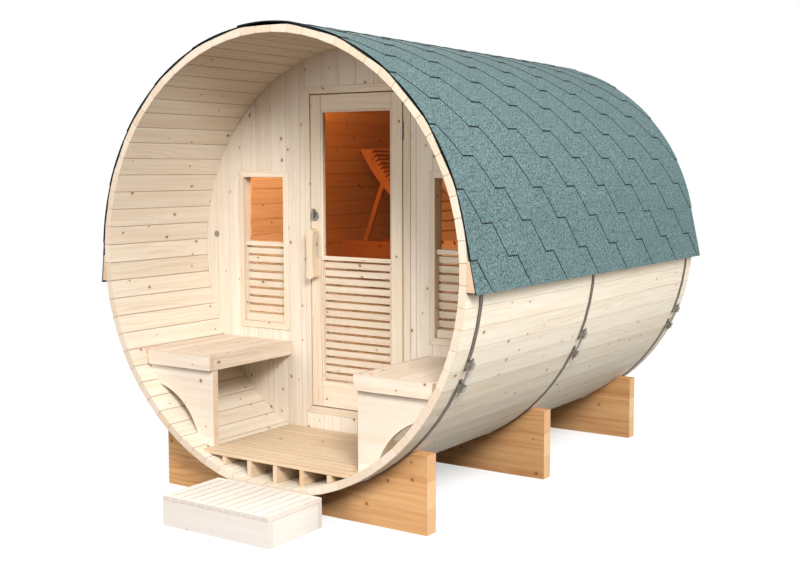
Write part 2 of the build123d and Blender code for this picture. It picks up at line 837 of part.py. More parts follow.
def lounger_props():
    """A stick behind each rail that holds the back plank up."""
    _, bend, _, plank_top = back_curve()
    height = axis_height + prop_top_rise
    share = (height - bend[1]) / (plank_top[1] - bend[1])
    top = (bend[0] + share * (plank_top[0] - bend[0]) - prop_top_inset, height)
    foot = (prop_foot_gap - barrel_half_width(prop_foot_drop), axis_height - prop_foot_drop)
    length = sqrt((top[0] - foot[0]) ** 2 + (top[1] - foot[1]) ** 2)
    lean = degrees(atan2(top[0] - foot[0], top[1] - foot[1]))
    props = []
    for y in (lounger_front_y + rail_thickness, lounger_back_y - rail_thickness - prop_thickness):
        place = Pos((top[0] + foot[0]) / 2, y + prop_thickness / 2, (top[1] + foot[1]) / 2)
        props.append(place * Rot(0, lean, 0) * Box(prop_width, prop_thickness, length))
    return Compound(props)


# The whole part

def build():
    """Every node by its name."""
    nodes = {}
    nodes.update(barrel_segments())
    nodes["front_cradle"] = cradle(front_cradle_face)
    nodes["middle_cradle"] = cradle(middle_cradle_face)
    nodes["rear_cradle"] = cradle(rear_cradle_face)
    nodes["front_hoop"] = hoop(front_hoop_middle)
    nodes["middle_hoop"] = hoop(middle_hoop_middle)
    nodes["rear_hoop"] = hoop(rear_hoop_middle)
    nodes["hoop_tensioners"] = tensioners()
    nodes["roof_right"] = roof_half(right_lift_off_angle, right_eave_drop)
    nodes["roof_left"] = mirrored(roof_half(left_lift_off_angle, left_eave_drop))
    nodes["eave_battens"] = Compound([eave_batten(right_lift_off_angle, right_eave_drop),
                                      mirrored(eave_batten(left_lift_off_angle, left_eave_drop))])
    nodes.update(front_wall())
    nodes["rear_wall"] = wall_disc(rear_wall_front, rear_wall_back)
    nodes.update(floors())
    nodes.update(door_frame())
    nodes.update(door())
    nodes["door_hinge_pins"] = Compound([hinge_pin(z) for z in hinge_heights])
    nodes.update(windows())
    nodes["wall_vent"] = wall_vent()
    nodes.update(benches())
    nodes.update(step())
    nodes["lounger_rails"] = lounger_rails()
    nodes["lounger_back_planks"] = back_planks()
    nodes["lounger_slats"] = lounger_slats()
    nodes["lounger_props"] = lounger_props()
    return nodes


os.makedirs("parts", exist_ok=True)
for node, shape in build().items():
    export_step(shape, f"parts/{node}.step")
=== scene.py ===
"""A barrel sauna dressed over its frame: staves, boards, shingles, louvres, glass and metal.

Metres. X to the right, Y from the porch to the rear, Z up, ground at Z = 0.
"""

import bmesh
import bpy
import numpy as np
from mathutils import Matrix, Vector


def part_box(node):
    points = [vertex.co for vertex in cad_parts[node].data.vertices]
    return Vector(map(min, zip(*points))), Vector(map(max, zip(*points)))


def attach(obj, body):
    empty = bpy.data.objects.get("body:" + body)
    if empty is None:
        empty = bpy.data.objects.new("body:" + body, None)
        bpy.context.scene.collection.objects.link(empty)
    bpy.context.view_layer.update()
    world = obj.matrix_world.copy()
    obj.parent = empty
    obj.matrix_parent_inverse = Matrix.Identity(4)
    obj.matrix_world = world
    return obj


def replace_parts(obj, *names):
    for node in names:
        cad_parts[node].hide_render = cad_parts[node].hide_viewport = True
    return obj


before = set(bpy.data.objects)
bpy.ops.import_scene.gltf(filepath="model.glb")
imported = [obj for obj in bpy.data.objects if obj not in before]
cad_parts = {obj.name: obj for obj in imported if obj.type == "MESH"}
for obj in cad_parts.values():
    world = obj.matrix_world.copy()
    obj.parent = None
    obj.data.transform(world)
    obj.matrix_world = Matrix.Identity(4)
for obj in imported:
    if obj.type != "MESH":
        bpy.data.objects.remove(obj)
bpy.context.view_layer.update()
rng = np.random.default_rng(11)


def low(node, axis):
    """The node's lowest value on an axis, 0 to 2."""
    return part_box(node)[0][axis]


def high(node, axis):
    """The node's highest value on an axis, 0 to 2."""
    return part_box(node)[1][axis]


# Sizes, from the frame where it has them

AXIS = (low("middle_hoop", 2) + high("middle_hoop", 2)) / 2
FRONT = low("barrel_top", 1)
REAR = high("barrel_top", 1)
OUTER = high("barrel_top", 2) - AXIS
STAVE = 0.038
INNER = OUTER - STAVE
FIT_GAP = 0.0003
FITTED = INNER - FIT_GAP
STAVE_ANGLE = np.radians(5)
WALL_FRONT = low("wall_left", 1)
WALL_BACK = high("wall_left", 1)
FLOOR_TOP = high("porch_floor", 2)
FLOOR_UNDER = low("porch_floor", 2)
LEAF_LOW = low("door_leaf", 2)
LEAF_HIGH = high("door_leaf", 2)
LEAF_HALF = high("door_leaf", 0)
LEAF_GAP = 0.005
FRAME_HALF = high("door_jambs", 0)
FRAME_FOOT = low("door_jambs", 2)
FRAME_TOP = high("door_jambs", 2)
DOORWAY_HALF = LEAF_HALF + LEAF_GAP
CASING = 0.034
WINDOW_NEAR = 0.448
WINDOW_FAR = high("window_frames", 0) - CASING / 2
WINDOW_FOOT = low("window_frames", 2) + CASING / 2
WINDOW_TOP = high("window_frames", 2) - CASING / 2

# How far apart two boards can lie in the wood's pattern
PATTERN_REACH = 40

# Camera, worked out from the photograph's vanishing points and the barrel's ellipses, in degrees
# and in the photograph's pixels
CAMERA_AT = (3.407, -5.083, 1.566)
CAMERA_YAW = 32.524
CAMERA_PITCH = -5.096
CAMERA_ROLL = 0.048
FOCAL_PIXELS = 1145.43
IMAGE_SIZE = (800, 571)
PRINCIPAL_PIXEL = (446.39, 270.74)


# Meshes

def make_object(name, points, faces, material, body, corners=None, marks=None, smooth=False):
    """A mesh object at the origin with its UV map and its board marks, riding on a body."""
    mesh = bpy.data.meshes.new(name)
    mesh.from_pydata(np.asarray(points).tolist(), [], faces)
    if corners is not None:
        layer = mesh.uv_layers.new(name="board_uv")
        layer.data.foreach_set("uv", np.asarray(corners, dtype=np.float32).ravel())
    if marks is not None:
        sizes = np.array([len(face) for face in faces])
        colour = np.ones((sizes.sum(), 4), dtype=np.float32)
        colour[:, :3] = np.repeat(np.asarray(marks, dtype=np.float32), sizes, axis=0)
        layer = mesh.color_attributes.new("board", "FLOAT_COLOR", "CORNER")
        layer.data.foreach_set("color", colour.ravel())
    work = bmesh.new()
    work.from_mesh(mesh)
    bmesh.ops.recalc_face_normals(work, faces=work.faces)
    work.to_mesh(mesh)
    work.free()
    if smooth:
        mesh.shade_smooth()
    piece = bpy.data.objects.new(name, mesh)
    bpy.context.scene.collection.objects.link(piece)
    mesh.materials.append(material)
    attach(piece, body)
    return piece


class Boards:
    """Boards of one piece. Each is a ring of points round its section, carried along its length.

    A mark per face holds the board's random tone, whether it's an end, and how dark it is drawn:
    an arris, or a thin side that gets painted shade.
    """
    END_SHADE = 0.6

    def __init__(self):
        self.points, self.faces, self.corners, self.marks = [], [], [], []
        self.count = 0

    def add(self, place, length, width, thickness, arris=0.0015, far_arris=None, across=1, along=1,
            tone=None, shift=None, edges=0.0):
        """place(a, b, c) gives the points at metres along, across and through the board.

        The section is a rectangle with its corners cut by the arris, and it shrinks by the same cut
        at both ends. The UV map is metres along and round the section, moved by the shift. The edges
        value darkens the board's two thin sides with painted shade, for the shadow in the gaps between
        louvre slats.
        """
        cut = min(arris, width / 3, thickness / 3)
        far_cut = cut if far_arris is None else far_arris
        run = np.linspace(cut, width - cut, across + 1)
        far_run = np.linspace(far_cut, width - far_cut, across + 1)
        b = np.concatenate([run, [width, width], far_run[::-1], [0, 0]])
        c = np.concatenate([np.zeros(across + 1), [cut, thickness - far_cut],
                            np.full(across + 1, thickness), [thickness - far_cut, cut]])
        ring = len(b)
        a = np.concatenate([[0], np.linspace(cut, length - cut, along + 1), [length]])
        stations = len(a)
        inset = np.zeros(stations)
        inset[[0, -1]] = cut
        grid_b = b + (width / 2 - b) * (2 * inset / width)[:, None]
        grid_c = c + (thickness / 2 - c) * (2 * inset / thickness)[:, None]
        grid_a = np.repeat(a[:, None], ring, axis=1)
        points = place(grid_a.ravel(), grid_b.ravel(), grid_c.ravel())
        self.points.append(np.stack(np.broadcast_arrays(*points), axis=1))
        tone = rng.random() if tone is None else tone
        shift = rng.random(2) * PATTERN_REACH if shift is None else shift
        step = np.hypot(np.diff(np.append(b, b[0])), np.diff(np.append(c, c[0])))
        around = np.concatenate([[0], np.cumsum(step)])
        i, k = np.meshgrid(np.arange(stations - 1), np.arange(ring), indexing="ij")
        following = (k + 1) % ring
        sides = np.stack([i * ring + k, i * ring + following, (i + 1) * ring + following,
                          (i + 1) * ring + k], axis=-1).reshape(-1, 4)
        u = np.stack([a[i], a[i], a[i + 1], a[i + 1]], axis=-1).reshape(-1, 4)
        v = np.stack([around[k], around[k + 1], around[k + 1], around[k]], axis=-1).reshape(-1, 4)
        ends = np.isin(i, (0, stations - 2)).ravel()
        arrises = np.isin(k, (across, across + 2, ring - 3, ring - 1)).ravel()
        # Painted shade on the two thin sides, for the shadow in the gaps between louvre slats
        thin_side_shade = np.isin(k, (across + 1, ring - 2)).ravel() * edges
        self.faces += (sides + self.count).tolist()
        self.corners.append(np.stack([u.ravel() + shift[0], v.ravel() + shift[1]], axis=1))
        shades = np.maximum(np.maximum(arrises, ends * self.END_SHADE), thin_side_shade)
        self.marks.append(np.stack([np.full(len(sides), tone), np.zeros(len(sides)), shades], axis=1))
        near = np.arange(across)
        far = 2 * across + 3 - near
        cap = np.concatenate([np.stack([near, near + 1, far - 1, far], axis=1),
                              [[across, across + 1, across + 2, across + 3],
                               [2 * across + 3, ring - 2, ring - 1, 0]]])
        for station in (0, stations - 1):
            faces = cap + station * ring
            self.faces += (faces + self.count).tolist()
            spot = cap.ravel()
            self.corners.append(np.stack([c[spot] + shift[0], b[spot] + shift[1]], axis=1))
            self.marks.append(np.tile([tone, 1.0, 0.0], (len(cap), 1)))
        self.count += stations * ring

    def block(self, start, end, grain=0, **options):
        """A board between two corners, with its grain along an axis and its face the wider side."""
        start, end = np.minimum(start, end), np.maximum(start, end)
        size = end - start
        others = [axis for axis in range(3) if axis != grain]
        wide, thin = sorted(others, key=lambda axis: -size[axis])

        def place(a, b, c):
            values = [None, None, None]
            values[grain], values[wide], values[thin] = a, b, c
            return [start[axis] + values[axis] for axis in range(3)]

        self.add(place, size[grain], size[wide], size[thin], **options)

    def finish(self, name, material, slot, body="house", nodes=()):
        """The piece, in place of the nodes that it stands for."""
        piece = make_object(name, np.concatenate(self.points), self.faces, material, body,
                            np.concatenate(self.corners), np.concatenate(self.marks))
        if nodes:
            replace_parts(piece, *nodes)
        return piece


# Materials

class Nodes:
    """A node tree, with a short way to put a node in and link it."""

    def __init__(self, tree):
        self.tree = tree

    def put(self, kind, sockets=(), output=0, **settings):
        """A new node's output socket."""
        node = self.tree.nodes.new("ShaderNode" + kind)
        for key, value in settings.items():
            setattr(node, key, value)
        for key, value in dict(sockets).items():
            if isinstance(value, bpy.types.NodeSocket):
                self.tree.links.new(value, node.inputs[key])
            else:
                node.inputs[key].default_value = value
        return node.outputs[output]

    def parts(self, vector):
        """A vector's three values."""
        node = self.tree.nodes.new("ShaderNodeSeparateXYZ")
        self.tree.links.new(vector, node.inputs[0])
        return list(node.outputs)

    def math(self, operation, first, second=0.5, clamp=False):
        """One sum on two values."""
        return self.put("Math", {0: first, 1: second}, operation=operation, use_clamp=clamp)

    def mix(self, share, first, second, blend="MIX"):
        """Two colours mixed by a share."""
        return self.put("Mix", {0: share, 6: first, 7: second}, output=2, data_type="RGBA",
                        blend_type=blend)

    def noise(self, vector, scale=1.0, detail=4.0, roughness=0.55):
        """A noise value from 0 to 1."""
        sockets = {"Vector": vector, "Scale": scale, "Detail": detail, "Roughness": roughness}
        return self.put("TexNoise", sockets)

    def ramp(self, value, start, end):
        """A value stretched so that start gives 0 and end gives 1."""
        return self.put("MapRange", {"Value": value, "From Min": start, "From Max": end})

    def vector(self, x, y, z=0.0):
        """Three values as one vector."""
        return self.put("CombineXYZ", {0: x, 1: y, 2: z})


class Shader(Nodes):
    """A material's node tree, with the shader that it starts with."""

    def __init__(self, name):
        self.material = bpy.data.materials.new(name)
        self.material.use_nodes = True
        super().__init__(self.material.node_tree)
        self.base = self.tree.nodes["Principled BSDF"]

    def bump(self, height, strength, distance):
        """Bump on the whole surface."""
        sockets = {"Height": height, "Strength": strength, "Distance": distance}
        self.tree.links.new(self.put("Bump", sockets), self.base.inputs["Normal"])

    def finish(self, colour, roughness, specular=0.5, metallic=0.0):
        """Links or sets the colour, and sets the rest on the shader's own sockets."""
        if isinstance(colour, bpy.types.NodeSocket):
            self.tree.links.new(colour, self.base.inputs["Base Color"])
        else:
            self.base.inputs["Base Color"].default_value = colour
        self.base.inputs["Roughness"].default_value = roughness
        self.base.inputs["Specular IOR Level"].default_value = specular
        self.base.inputs["Metallic"].default_value = metallic
        return self.material


def rgb(red, green, blue):
    """A colour from screen values of 0 to 255, as a linear colour."""
    values = np.array([red, green, blue]) / 255
    linear = np.where(values <= 0.04045, values / 12.92, ((values + 0.055) / 1.055) ** 2.4)
    return (*linear.tolist(), 1.0)


# The share that is kept of each pine colour, so that the lamps show it as deep as it is
DEEPER = 0.87

# Repeats of each pattern in wood per metre, along and across the grain. An end's rings are given
# across and along.
WANDER = (1.1, 7.0)
STREAK = (1.6, 34.0)
FIBRE = (16.0, 420.0)
KNOT_CELLS = (7.5, 9.0)
END_RINGS = (60.0, 200.0)
GROWTH_LINES = 240.0
GROWTH_BEND = 46.0

# A knot's least reach in its cell, and what chance adds to it
KNOT_LEAST = 0.02
KNOT_MORE = 0.065


def stretched(shader, one, two, repeats, offset):
    """Two distances, each times its repeats, and an offset that sets the boards apart."""
    return shader.vector(shader.math("MULTIPLY", one, repeats[0]),
                         shader.math("MULTIPLY", two, repeats[1]), offset)


def grain_field(shader, grain, layer):
    """Metres along and across the grain, the board's tone, 1 at its ends, and its arris mark, which
    on louvre slats' thin sides is painted shade.

    Across a solid that keeps its own shape is one of the other axes plus most of the second, so
    that each of its faces shows grain, and its boards are layers one over the other.
    """
    if grain is None:
        along, across = shader.parts(shader.put("UVMap", uv_map="board_uv"))[:2]
        tone, is_end, arris = shader.parts(shader.put("Attribute", attribute_name="board"))
        return along, across, tone, is_end, arris
    place = shader.parts(shader.put("TexCoord", output=3))
    one, two = [place[axis] for axis in range(3) if axis != grain]
    across = shader.math("ADD", one, shader.math("MULTIPLY", two, 0.83))
    normal = shader.parts(shader.put("NewGeometry", output=1))
    is_end = shader.math("GREATER_THAN", shader.math("ABSOLUTE", normal[grain]), 0.7)
    number = shader.math("FLOOR", shader.math("DIVIDE", place[2], layer))
    tone = shader.put("TexWhiteNoise", {"W": number}, noise_dimensions="1D")
    return place[grain], across, tone, is_end, 0.0


def knot_spots(shader, along, across, offset, share):
    """A knot's core and the halo round it, 0 to 1, in a share of the cells that divide the board.

    Both fall off with the distance from the cell's seed over the knot's reach.
    """
    cells = shader.tree.nodes.new("ShaderNodeTexVoronoi")
    cells.voronoi_dimensions = "2D"
    shader.tree.links.new(stretched(shader, along, across, KNOT_CELLS, offset), cells.inputs["Vector"])
    cells.inputs["Scale"].default_value = 1.0
    chance, size = shader.parts(cells.outputs["Color"])[:2]
    there = shader.math("LESS_THAN", chance, share)
    reach = shader.math("ADD", KNOT_LEAST, shader.math("MULTIPLY", size, KNOT_MORE))
    heart = shader.math("SUBTRACT", 1.0, shader.math("DIVIDE", cells.outputs["Distance"], reach))
    core = shader.math("MULTIPLY", shader.ramp(heart, 0.0, 0.35), there)
    halo = shader.math("MULTIPLY", shader.ramp(heart, -1.6, 0.2), there)
    return core, halo


def wood(name, light, dark, knot=(118, 74, 40), knot_share=0.42, end=(222, 178, 138), grain=None,
         contrast=0.55, layer=100.0, spread=0.35):
    """Softwood: long streaks, growth lines that wander, fine fibres, knots, and a tone per board.

    With no grain axis it reads the boards' own UV map and marks, else the Object coordinates. The
    patterns are noise stretched along the grain, and the growth lines are the sine of the distance
    across plus a bend that one of the noises gives.
    """
    shader = Shader(name)
    light, dark, end = [rgb(*(np.array(shade) * DEEPER)) for shade in (light, dark, end)]
    knot = rgb(*knot)
    along, across, tone, is_end, arris = grain_field(shader, grain, layer)
    offset = shader.math("MULTIPLY", tone, 31.0)
    wander = shader.noise(stretched(shader, along, across, WANDER, offset), detail=2)
    streak = shader.noise(stretched(shader, along, across, STREAK, offset), detail=5)
    fibre = shader.noise(stretched(shader, along, across, FIBRE, offset), detail=2)
    lines = shader.math("SINE", shader.math("ADD", shader.math("MULTIPLY", across, GROWTH_LINES),
                                            shader.math("MULTIPLY", wander, GROWTH_BEND)))
    grown = shader.math("MULTIPLY", shader.ramp(lines, 0.1, 1.0), shader.ramp(wander, 0.42, 0.62))
    share = shader.math("ADD", shader.math("MULTIPLY", shader.ramp(streak, 0.35, 0.75), 0.6),
                        shader.math("MULTIPLY", grown, 0.4))
    share = shader.math("MULTIPLY", share, contrast, clamp=True)
    colour = shader.mix(share, light, dark)
    pale = shader.mix(1.0, colour, (1.06, 1.03, 0.98, 1.0), "MULTIPLY")
    deep = shader.mix(1.0, colour, (0.86, 0.76, 0.64, 1.0), "MULTIPLY")
    toned = shader.mix(shader.math("POWER", tone, 1.6), pale, deep)
    colour = shader.mix(spread, colour, toned)
    colour = shader.mix(shader.math("MULTIPLY", shader.ramp(fibre, 0.45, 0.8), 0.16), colour, dark)
    core, halo = knot_spots(shader, along, across, offset, knot_share)
    colour = shader.mix(shader.math("MULTIPLY", halo, 0.22), colour, dark)
    colour = shader.mix(shader.math("MULTIPLY", core, 0.85), colour, knot)
    ringed = shader.noise(stretched(shader, across, along, END_RINGS, offset), detail=3)
    end_colour = shader.mix(ringed, end, light)
    end_colour = shader.mix(shader.math("MULTIPLY", tone, 0.5), end_colour, dark)
    colour = shader.mix(shader.math("MULTIPLY", is_end, 0.85), colour, end_colour)
    # The arris mark darkens arrises and board ends, and gives louvre slats' thin sides painted shade
    if grain is None:
        colour = shader.mix(shader.math("MULTIPLY", arris, 0.5), colour, knot)
    height = shader.math("ADD", streak, shader.math("MULTIPLY", fibre, 0.5))
    shader.bump(height, 0.25, 0.0008)
    return shader.finish(colour, 0.6, 0.3)


def shingle_face():
    """Slate granules on bitumen: noise of two fine sizes, summed, and wide clouds over it."""
    shader = Shader("granules")
    place = shader.put("TexCoord", output=3)
    coarse = shader.noise(place, 130.0, 2, 0.7)
    fine = shader.noise(place, 420.0, 2, 0.8)
    cloud = shader.noise(place, 3.0, 3)
    share = shader.math("ADD", shader.math("MULTIPLY", coarse, 0.75),
                        shader.math("MULTIPLY", fine, 0.25))
    colour = shader.mix(shader.ramp(share, 0.38, 0.62), rgb(28, 42, 43), rgb(106, 128, 128))
    colour = shader.mix(shader.math("MULTIPLY", shader.ramp(cloud, 0.35, 0.7), 0.2), colour,
                        rgb(70, 92, 94))
    shader.bump(share, 0.5, 0.0015)
    return shader.finish(colour, 0.85, 0.25)


def plain_metal(name, colour, roughness, metallic=1.0):
    """Metal with faint brushing and patches where its roughness shows."""
    shader = Shader(name)
    place = shader.put("TexCoord", output=3)
    patches = shader.noise(place, 60.0, 4)
    scratches = shader.noise(shader.put("Mapping", {"Vector": place, "Scale": (900, 900, 30)}), 1.0, 2)
    worn = shader.mix(shader.ramp(patches, 0.4, 0.75), rgb(*colour), rgb(*[c * 0.72 for c in colour]))
    shader.bump(scratches, 0.12, 0.0004)
    return shader.finish(worn, roughness, 0.5, metallic)


def dark_felt():
    """Bitumen at a shingle's cut edge and under the shingles.

    Where a cut edge leans out, the bitumen band is also a painted shadow line.
    """
    shader = Shader("bitumen")
    place = shader.put("TexCoord", output=3)
    colour = shader.mix(shader.noise(place, 200.0, 2), rgb(8, 14, 14), rgb(26, 34, 34))
    return shader.finish(colour, 0.8, 0.2)


GLASS_IOR = 1.12


def thin_glass(name, tint):
    """Glass with a tint, its reflection kept faint as it is in the photograph."""
    shader = Shader(name)
    shader.base.inputs["Transmission Weight"].default_value = 1.0
    shader.base.inputs["IOR"].default_value = GLASS_IOR
    return shader.finish(rgb(*tint), 0.0)


def vent_white():
    """Off-white plastic with a faint texture."""
    shader = Shader("vent_plastic")
    speck = shader.noise(shader.put("TexCoord", output=3), 500.0, 2)
    colour = shader.mix(speck, rgb(150, 144, 134), rgb(104, 98, 90))
    return shader.finish(colour, 0.45)


STAVE_PINE = wood("stave_pine", (248, 240, 224), (220, 188, 144), knot_share=0.36, contrast=0.62,
                  end=(228, 198, 172))
WALL_PINE = wood("wall_pine", (250, 242, 228), (224, 192, 154), knot_share=0.6, contrast=0.55)
DOOR_PINE = wood("door_pine", (250, 238, 218), (216, 180, 138), knot_share=0.3, contrast=0.55)
FLOOR_PINE = wood("floor_pine", (240, 220, 190), (196, 152, 106), knot_share=0.35, contrast=0.75)
BENCH_PINE = wood("bench_pine", (248, 237, 220), (208, 166, 124), knot_share=0.45, contrast=0.62)
ROOM_PINE = wood("room_pine", (232, 200, 160), (184, 134, 90), knot_share=0.5)
STEP_PINE = wood("step_pine", (243, 238, 232), (224, 208, 188), knot=(150, 116, 84), knot_share=0.12,
                 contrast=0.4, end=(214, 200, 184))
CRADLE_PINE = wood("cradle_pine", (236, 189, 134), (194, 124, 64), knot_share=0.5, grain=0,
                   contrast=1.0, layer=0.116, end=(232, 200, 164), spread=0.6)
PANEL_PINE = wood("panel_pine", (246, 236, 222), (226, 196, 158), knot_share=0.4, grain=0,
                  contrast=0.45, layer=0.14)
HANDLE_PINE = wood("handle_pine", (246, 230, 204), (222, 190, 150), knot_share=0.1, grain=2,
                   contrast=0.4)
SLAT_PINE = wood("slat_pine", (236, 206, 168), (196, 150, 106), grain=1)
LONG_PINE = wood("long_pine", (240, 216, 184), (206, 164, 120), knot_share=0.3, grain=1)
UPRIGHT_ROOM = wood("upright_room_pine", (232, 200, 160), (192, 144, 100), grain=2)
GRANULES = shingle_face()
BITUMEN = dark_felt()
BAND_STEEL = plain_metal("band_steel", (104, 92, 82), 0.55, 0.6)
BRUSHED_STEEL = plain_metal("brushed_steel", (150, 146, 138), 0.35)
BRONZE_GLASS = thin_glass("bronze_glass", (180, 122, 68))
WARM_GLASS = thin_glass("warm_glass", (242, 214, 192))
VENT = vent_white()


# Barrel

def staves():
    """Staves round the barrel: flat inside and outside, each with its own length of grain.

    A stave's width is twice its radius times the tangent of half its angle, less the joint, so it
    grows from the inner face to the outer one. Counted from half a stave over the right, each
    stave is turned to its own place, and six arcs of them make the round.
    """
    joint = 0.0004
    outer_face = OUTER * np.cos(STAVE_ANGLE / 2)
    full = 2 * INNER * np.tan(STAVE_ANGLE / 2)
    arcs = {"barrel_upper_right": 12, "barrel_top": 11, "barrel_upper_left": 12,
            "barrel_lower_left": 12, "barrel_bottom": 13, "barrel_lower_right": 12}
    placed = 0
    for node, count in arcs.items():
        boards = Boards()
        for number in range(placed, placed + count):
            def place(a, b, c, turn=(number + 1) * STAVE_ANGLE):
                radius = INNER + c
                width = 2 * radius * np.tan(STAVE_ANGLE / 2) - joint
                side = (b / full - 0.5) * width
                x = radius * np.cos(turn) - side * np.sin(turn)
                z = radius * np.sin(turn) + side * np.cos(turn)
                return x, FRONT + a, AXIS + z

            boards.add(place, REAR - FRONT, full, outer_face - INNER, arris=0.0020,
                       far_arris=0.0009)
        placed += count
        boards.finish("staves_" + node, STAVE_PINE, "pine", nodes=[node])


def half_width(drop):
    """Half the barrel's width inside, at a drop below its axis: the circle's other side."""
    return np.sqrt(np.maximum(FITTED ** 2 - drop ** 2, 0))


# End walls

# Lines between the boards beside the doorway, in metres from the middle
WALL_LINES = (FRAME_HALF, 0.355, WINDOW_NEAR, 0.549, 0.650, WINDOW_FAR, 0.841, 0.930)
DOORWAY_BOARDS = 6
REAR_BOARDS = 22

# The outermost boards stop short of the circle by this
RIM_GAP = 0.001


def upright(boards, x_low, x_high, y_low, y_high, z_low=None, z_high=None):
    """An upright wall board between two lines, its free ends on the barrel's circle.

    A free end is the axis height, less or plus half the barrel's width at the point's own X.
    """
    def place(a, b, c):
        x = x_low + b
        foot = AXIS - half_width(x) if z_low is None else z_low
        head = AXIS + half_width(x) if z_high is None else z_high
        return x, y_low + c, foot + (head - foot) * a / length

    middle = half_width(min(abs(x_low), abs(x_high)))
    top = AXIS + middle if z_high is None else z_high
    bottom = AXIS - middle if z_low is None else z_low
    length = top - bottom
    boards.add(place, length, x_high - x_low, y_high - y_low, across=6, arris=0.0012)


def front_walls():
    """The wall beside, over and under the doorway, in upright boards cut to the circle."""
    edges = [*WALL_LINES, FITTED - RIM_GAP]
    for node, side in (("wall_right", 1), ("wall_left", -1)):
        boards = Boards()
        for near, far in zip(edges, edges[1:]):
            x_low, x_high = sorted((near * side, far * side))
            if WINDOW_NEAR <= near < WINDOW_FAR:
                upright(boards, x_low, x_high, WALL_FRONT, WALL_BACK, z_high=WINDOW_FOOT)
                upright(boards, x_low, x_high, WALL_FRONT, WALL_BACK, z_low=WINDOW_TOP)
            else:
                upright(boards, x_low, x_high, WALL_FRONT, WALL_BACK)
        boards.finish(node + "_boards", WALL_PINE, "pine", nodes=[node])
    for node, limits in (("wall_over_door", {"z_low": low("wall_over_door", 2)}),
                         ("wall_under_door", {"z_high": high("wall_under_door", 2)})):
        boards = Boards()
        edges = np.linspace(-FRAME_HALF, FRAME_HALF, DOORWAY_BOARDS + 1)
        for x_low, x_high in zip(edges, edges[1:]):
            upright(boards, x_low, x_high, WALL_FRONT, WALL_BACK, **limits)
        boards.finish(node + "_boards", WALL_PINE, "pine", nodes=[node])


def rear_wall():
    """The rear wall, in upright boards cut to the circle."""
    boards = Boards()
    reach = FITTED - RIM_GAP
    edges = np.linspace(-reach, reach, REAR_BOARDS + 1)
    for x_low, x_high in zip(edges, edges[1:]):
        upright(boards, x_low, x_high, low("rear_wall", 1), high("rear_wall", 1))
    boards.finish("rear_wall_boards", WALL_PINE, "pine", nodes=["rear_wall"])


# Floors

JOIST_PITCH = 0.156
JOIST_WIDTH = 0.024
JOISTS_EACH_SIDE = 2


def floor(node, name, planks, material):
    """Planks across the barrel, their ends cut to its curve: half its width at the point's drop."""
    boards = Boards()
    edges = np.linspace(low(node, 1), high(node, 1), planks + 1)
    for start, end in zip(edges, edges[1:]):
        def place(a, b, c, start=start):
            z = FLOOR_UNDER + c
            reach = half_width(AXIS - z)
            return (2 * a / length - 1) * reach, start + b, z

        length = 2 * half_width(AXIS - FLOOR_TOP)
        boards.add(place, length, end - start, FLOOR_TOP - FLOOR_UNDER, arris=0.002, along=2)
    boards.finish(name, material, "pine", nodes=[node])


def joists():
    """Joists under both floors. Their undersides lie on the barrel, their tops under the planks."""
    boards = Boards()
    for number in range(-JOISTS_EACH_SIDE, JOISTS_EACH_SIDE + 1):
        x_middle = number * JOIST_PITCH
        for node in ("porch_floor", "room_floor"):
            def place(a, b, c, node=node, x_middle=x_middle):
                x = x_middle - JOIST_WIDTH / 2 + c
                foot = AXIS - half_width(x)
                return x, low(node, 1) + a, foot + (FLOOR_UNDER - foot) * b / tall

            tall = FLOOR_UNDER - (AXIS - half_width(x_middle))
            boards.add(place, high(node, 1) - low(node, 1), tall, JOIST_WIDTH, arris=0.0012)
    boards.finish("joist_boards", FLOOR_PINE, "pine", nodes=["floor_joists"])


# Doorway, door and windows

# The leaf's rails and pane, from its top down
TOP_RAIL = 0.088
PANE_HEIGHT = 0.716
MIDDLE_RAIL = 0.020
BOTTOM_RAIL = 0.131
DOOR_SLATS = 15

# Behind the leaf's front: its rails, the strips beside the slats, the slats, and the pane's seat
RAIL_SINK = 0.0006
STRIP_SINK = 0.001
DOOR_SLAT_SINK = 0.010
PANE_SINK = 0.0235

# A window's sill over the axis, its slats, and how deep the sill and the slats lie in the wall
SILL_RISE = 0.040
SILL_HEIGHT = 0.024
WINDOW_PITCH = 0.0436
WINDOW_SLATS = 8
SILL_SINK = 0.008
WINDOW_SLAT_SINK = 0.020
CASING_BEVEL = 0.003

SLAT_GAP = 0.008
SLAT_THICK = 0.010
SLAT_TILT = np.radians(12)


def mitred(boards, outer, inner, fronts, back, **options):
    """A strip of a mitred frame, between an outer and an inner edge that are each two (x, z) ends.

    A point runs along the outer edge, across to the inner one by its share of the width, and back
    from a front that slopes evenly between the two fronts given for the edges.
    """
    outer, inner = np.array(outer), np.array(inner)
    run = outer[1] - outer[0]
    length = np.hypot(*run)
    normal = np.array([-run[1], run[0]]) / length
    width = abs(float(np.dot(inner[0] - outer[0], normal)))
    thick = back - min(fronts)

    def place(a, b, c):
        share, over = a / length, b / width
        x, z = [outer[0][k] + (outer[1][k] - outer[0][k]) * share for k in (0, 1)]
        inner_x, inner_z = [inner[0][k] + (inner[1][k] - inner[0][k]) * share for k in (0, 1)]
        front = fronts[0] + (fronts[1] - fronts[0]) * over
        return (x + (inner_x - x) * over, front + (back - front) * c / thick,
                z + (inner_z - z) * over)

    boards.add(place, length, width, thick, **options)


def mitred_ring(limits, width, fronts, back, **options):
    """The four strips of a mitred frame by name, given its outer limits and the strips' width."""
    x_low, x_high, z_low, z_high = limits
    outer = [(x_low, z_low), (x_low, z_high), (x_high, z_high), (x_high, z_low)]
    inner = [(x_low + width, z_low + width), (x_low + width, z_high - width),
             (x_high - width, z_high - width), (x_high - width, z_low + width)]
    strips = {}
    for number, name in enumerate(("left", "head", "right", "foot")):
        ends = (number, (number + 1) % 4)

        def draw(boards, ends=ends):
            mitred(boards, [outer[end] for end in ends], [inner[end] for end in ends], fronts, back,
                   **options)

        strips[name] = draw
    return strips


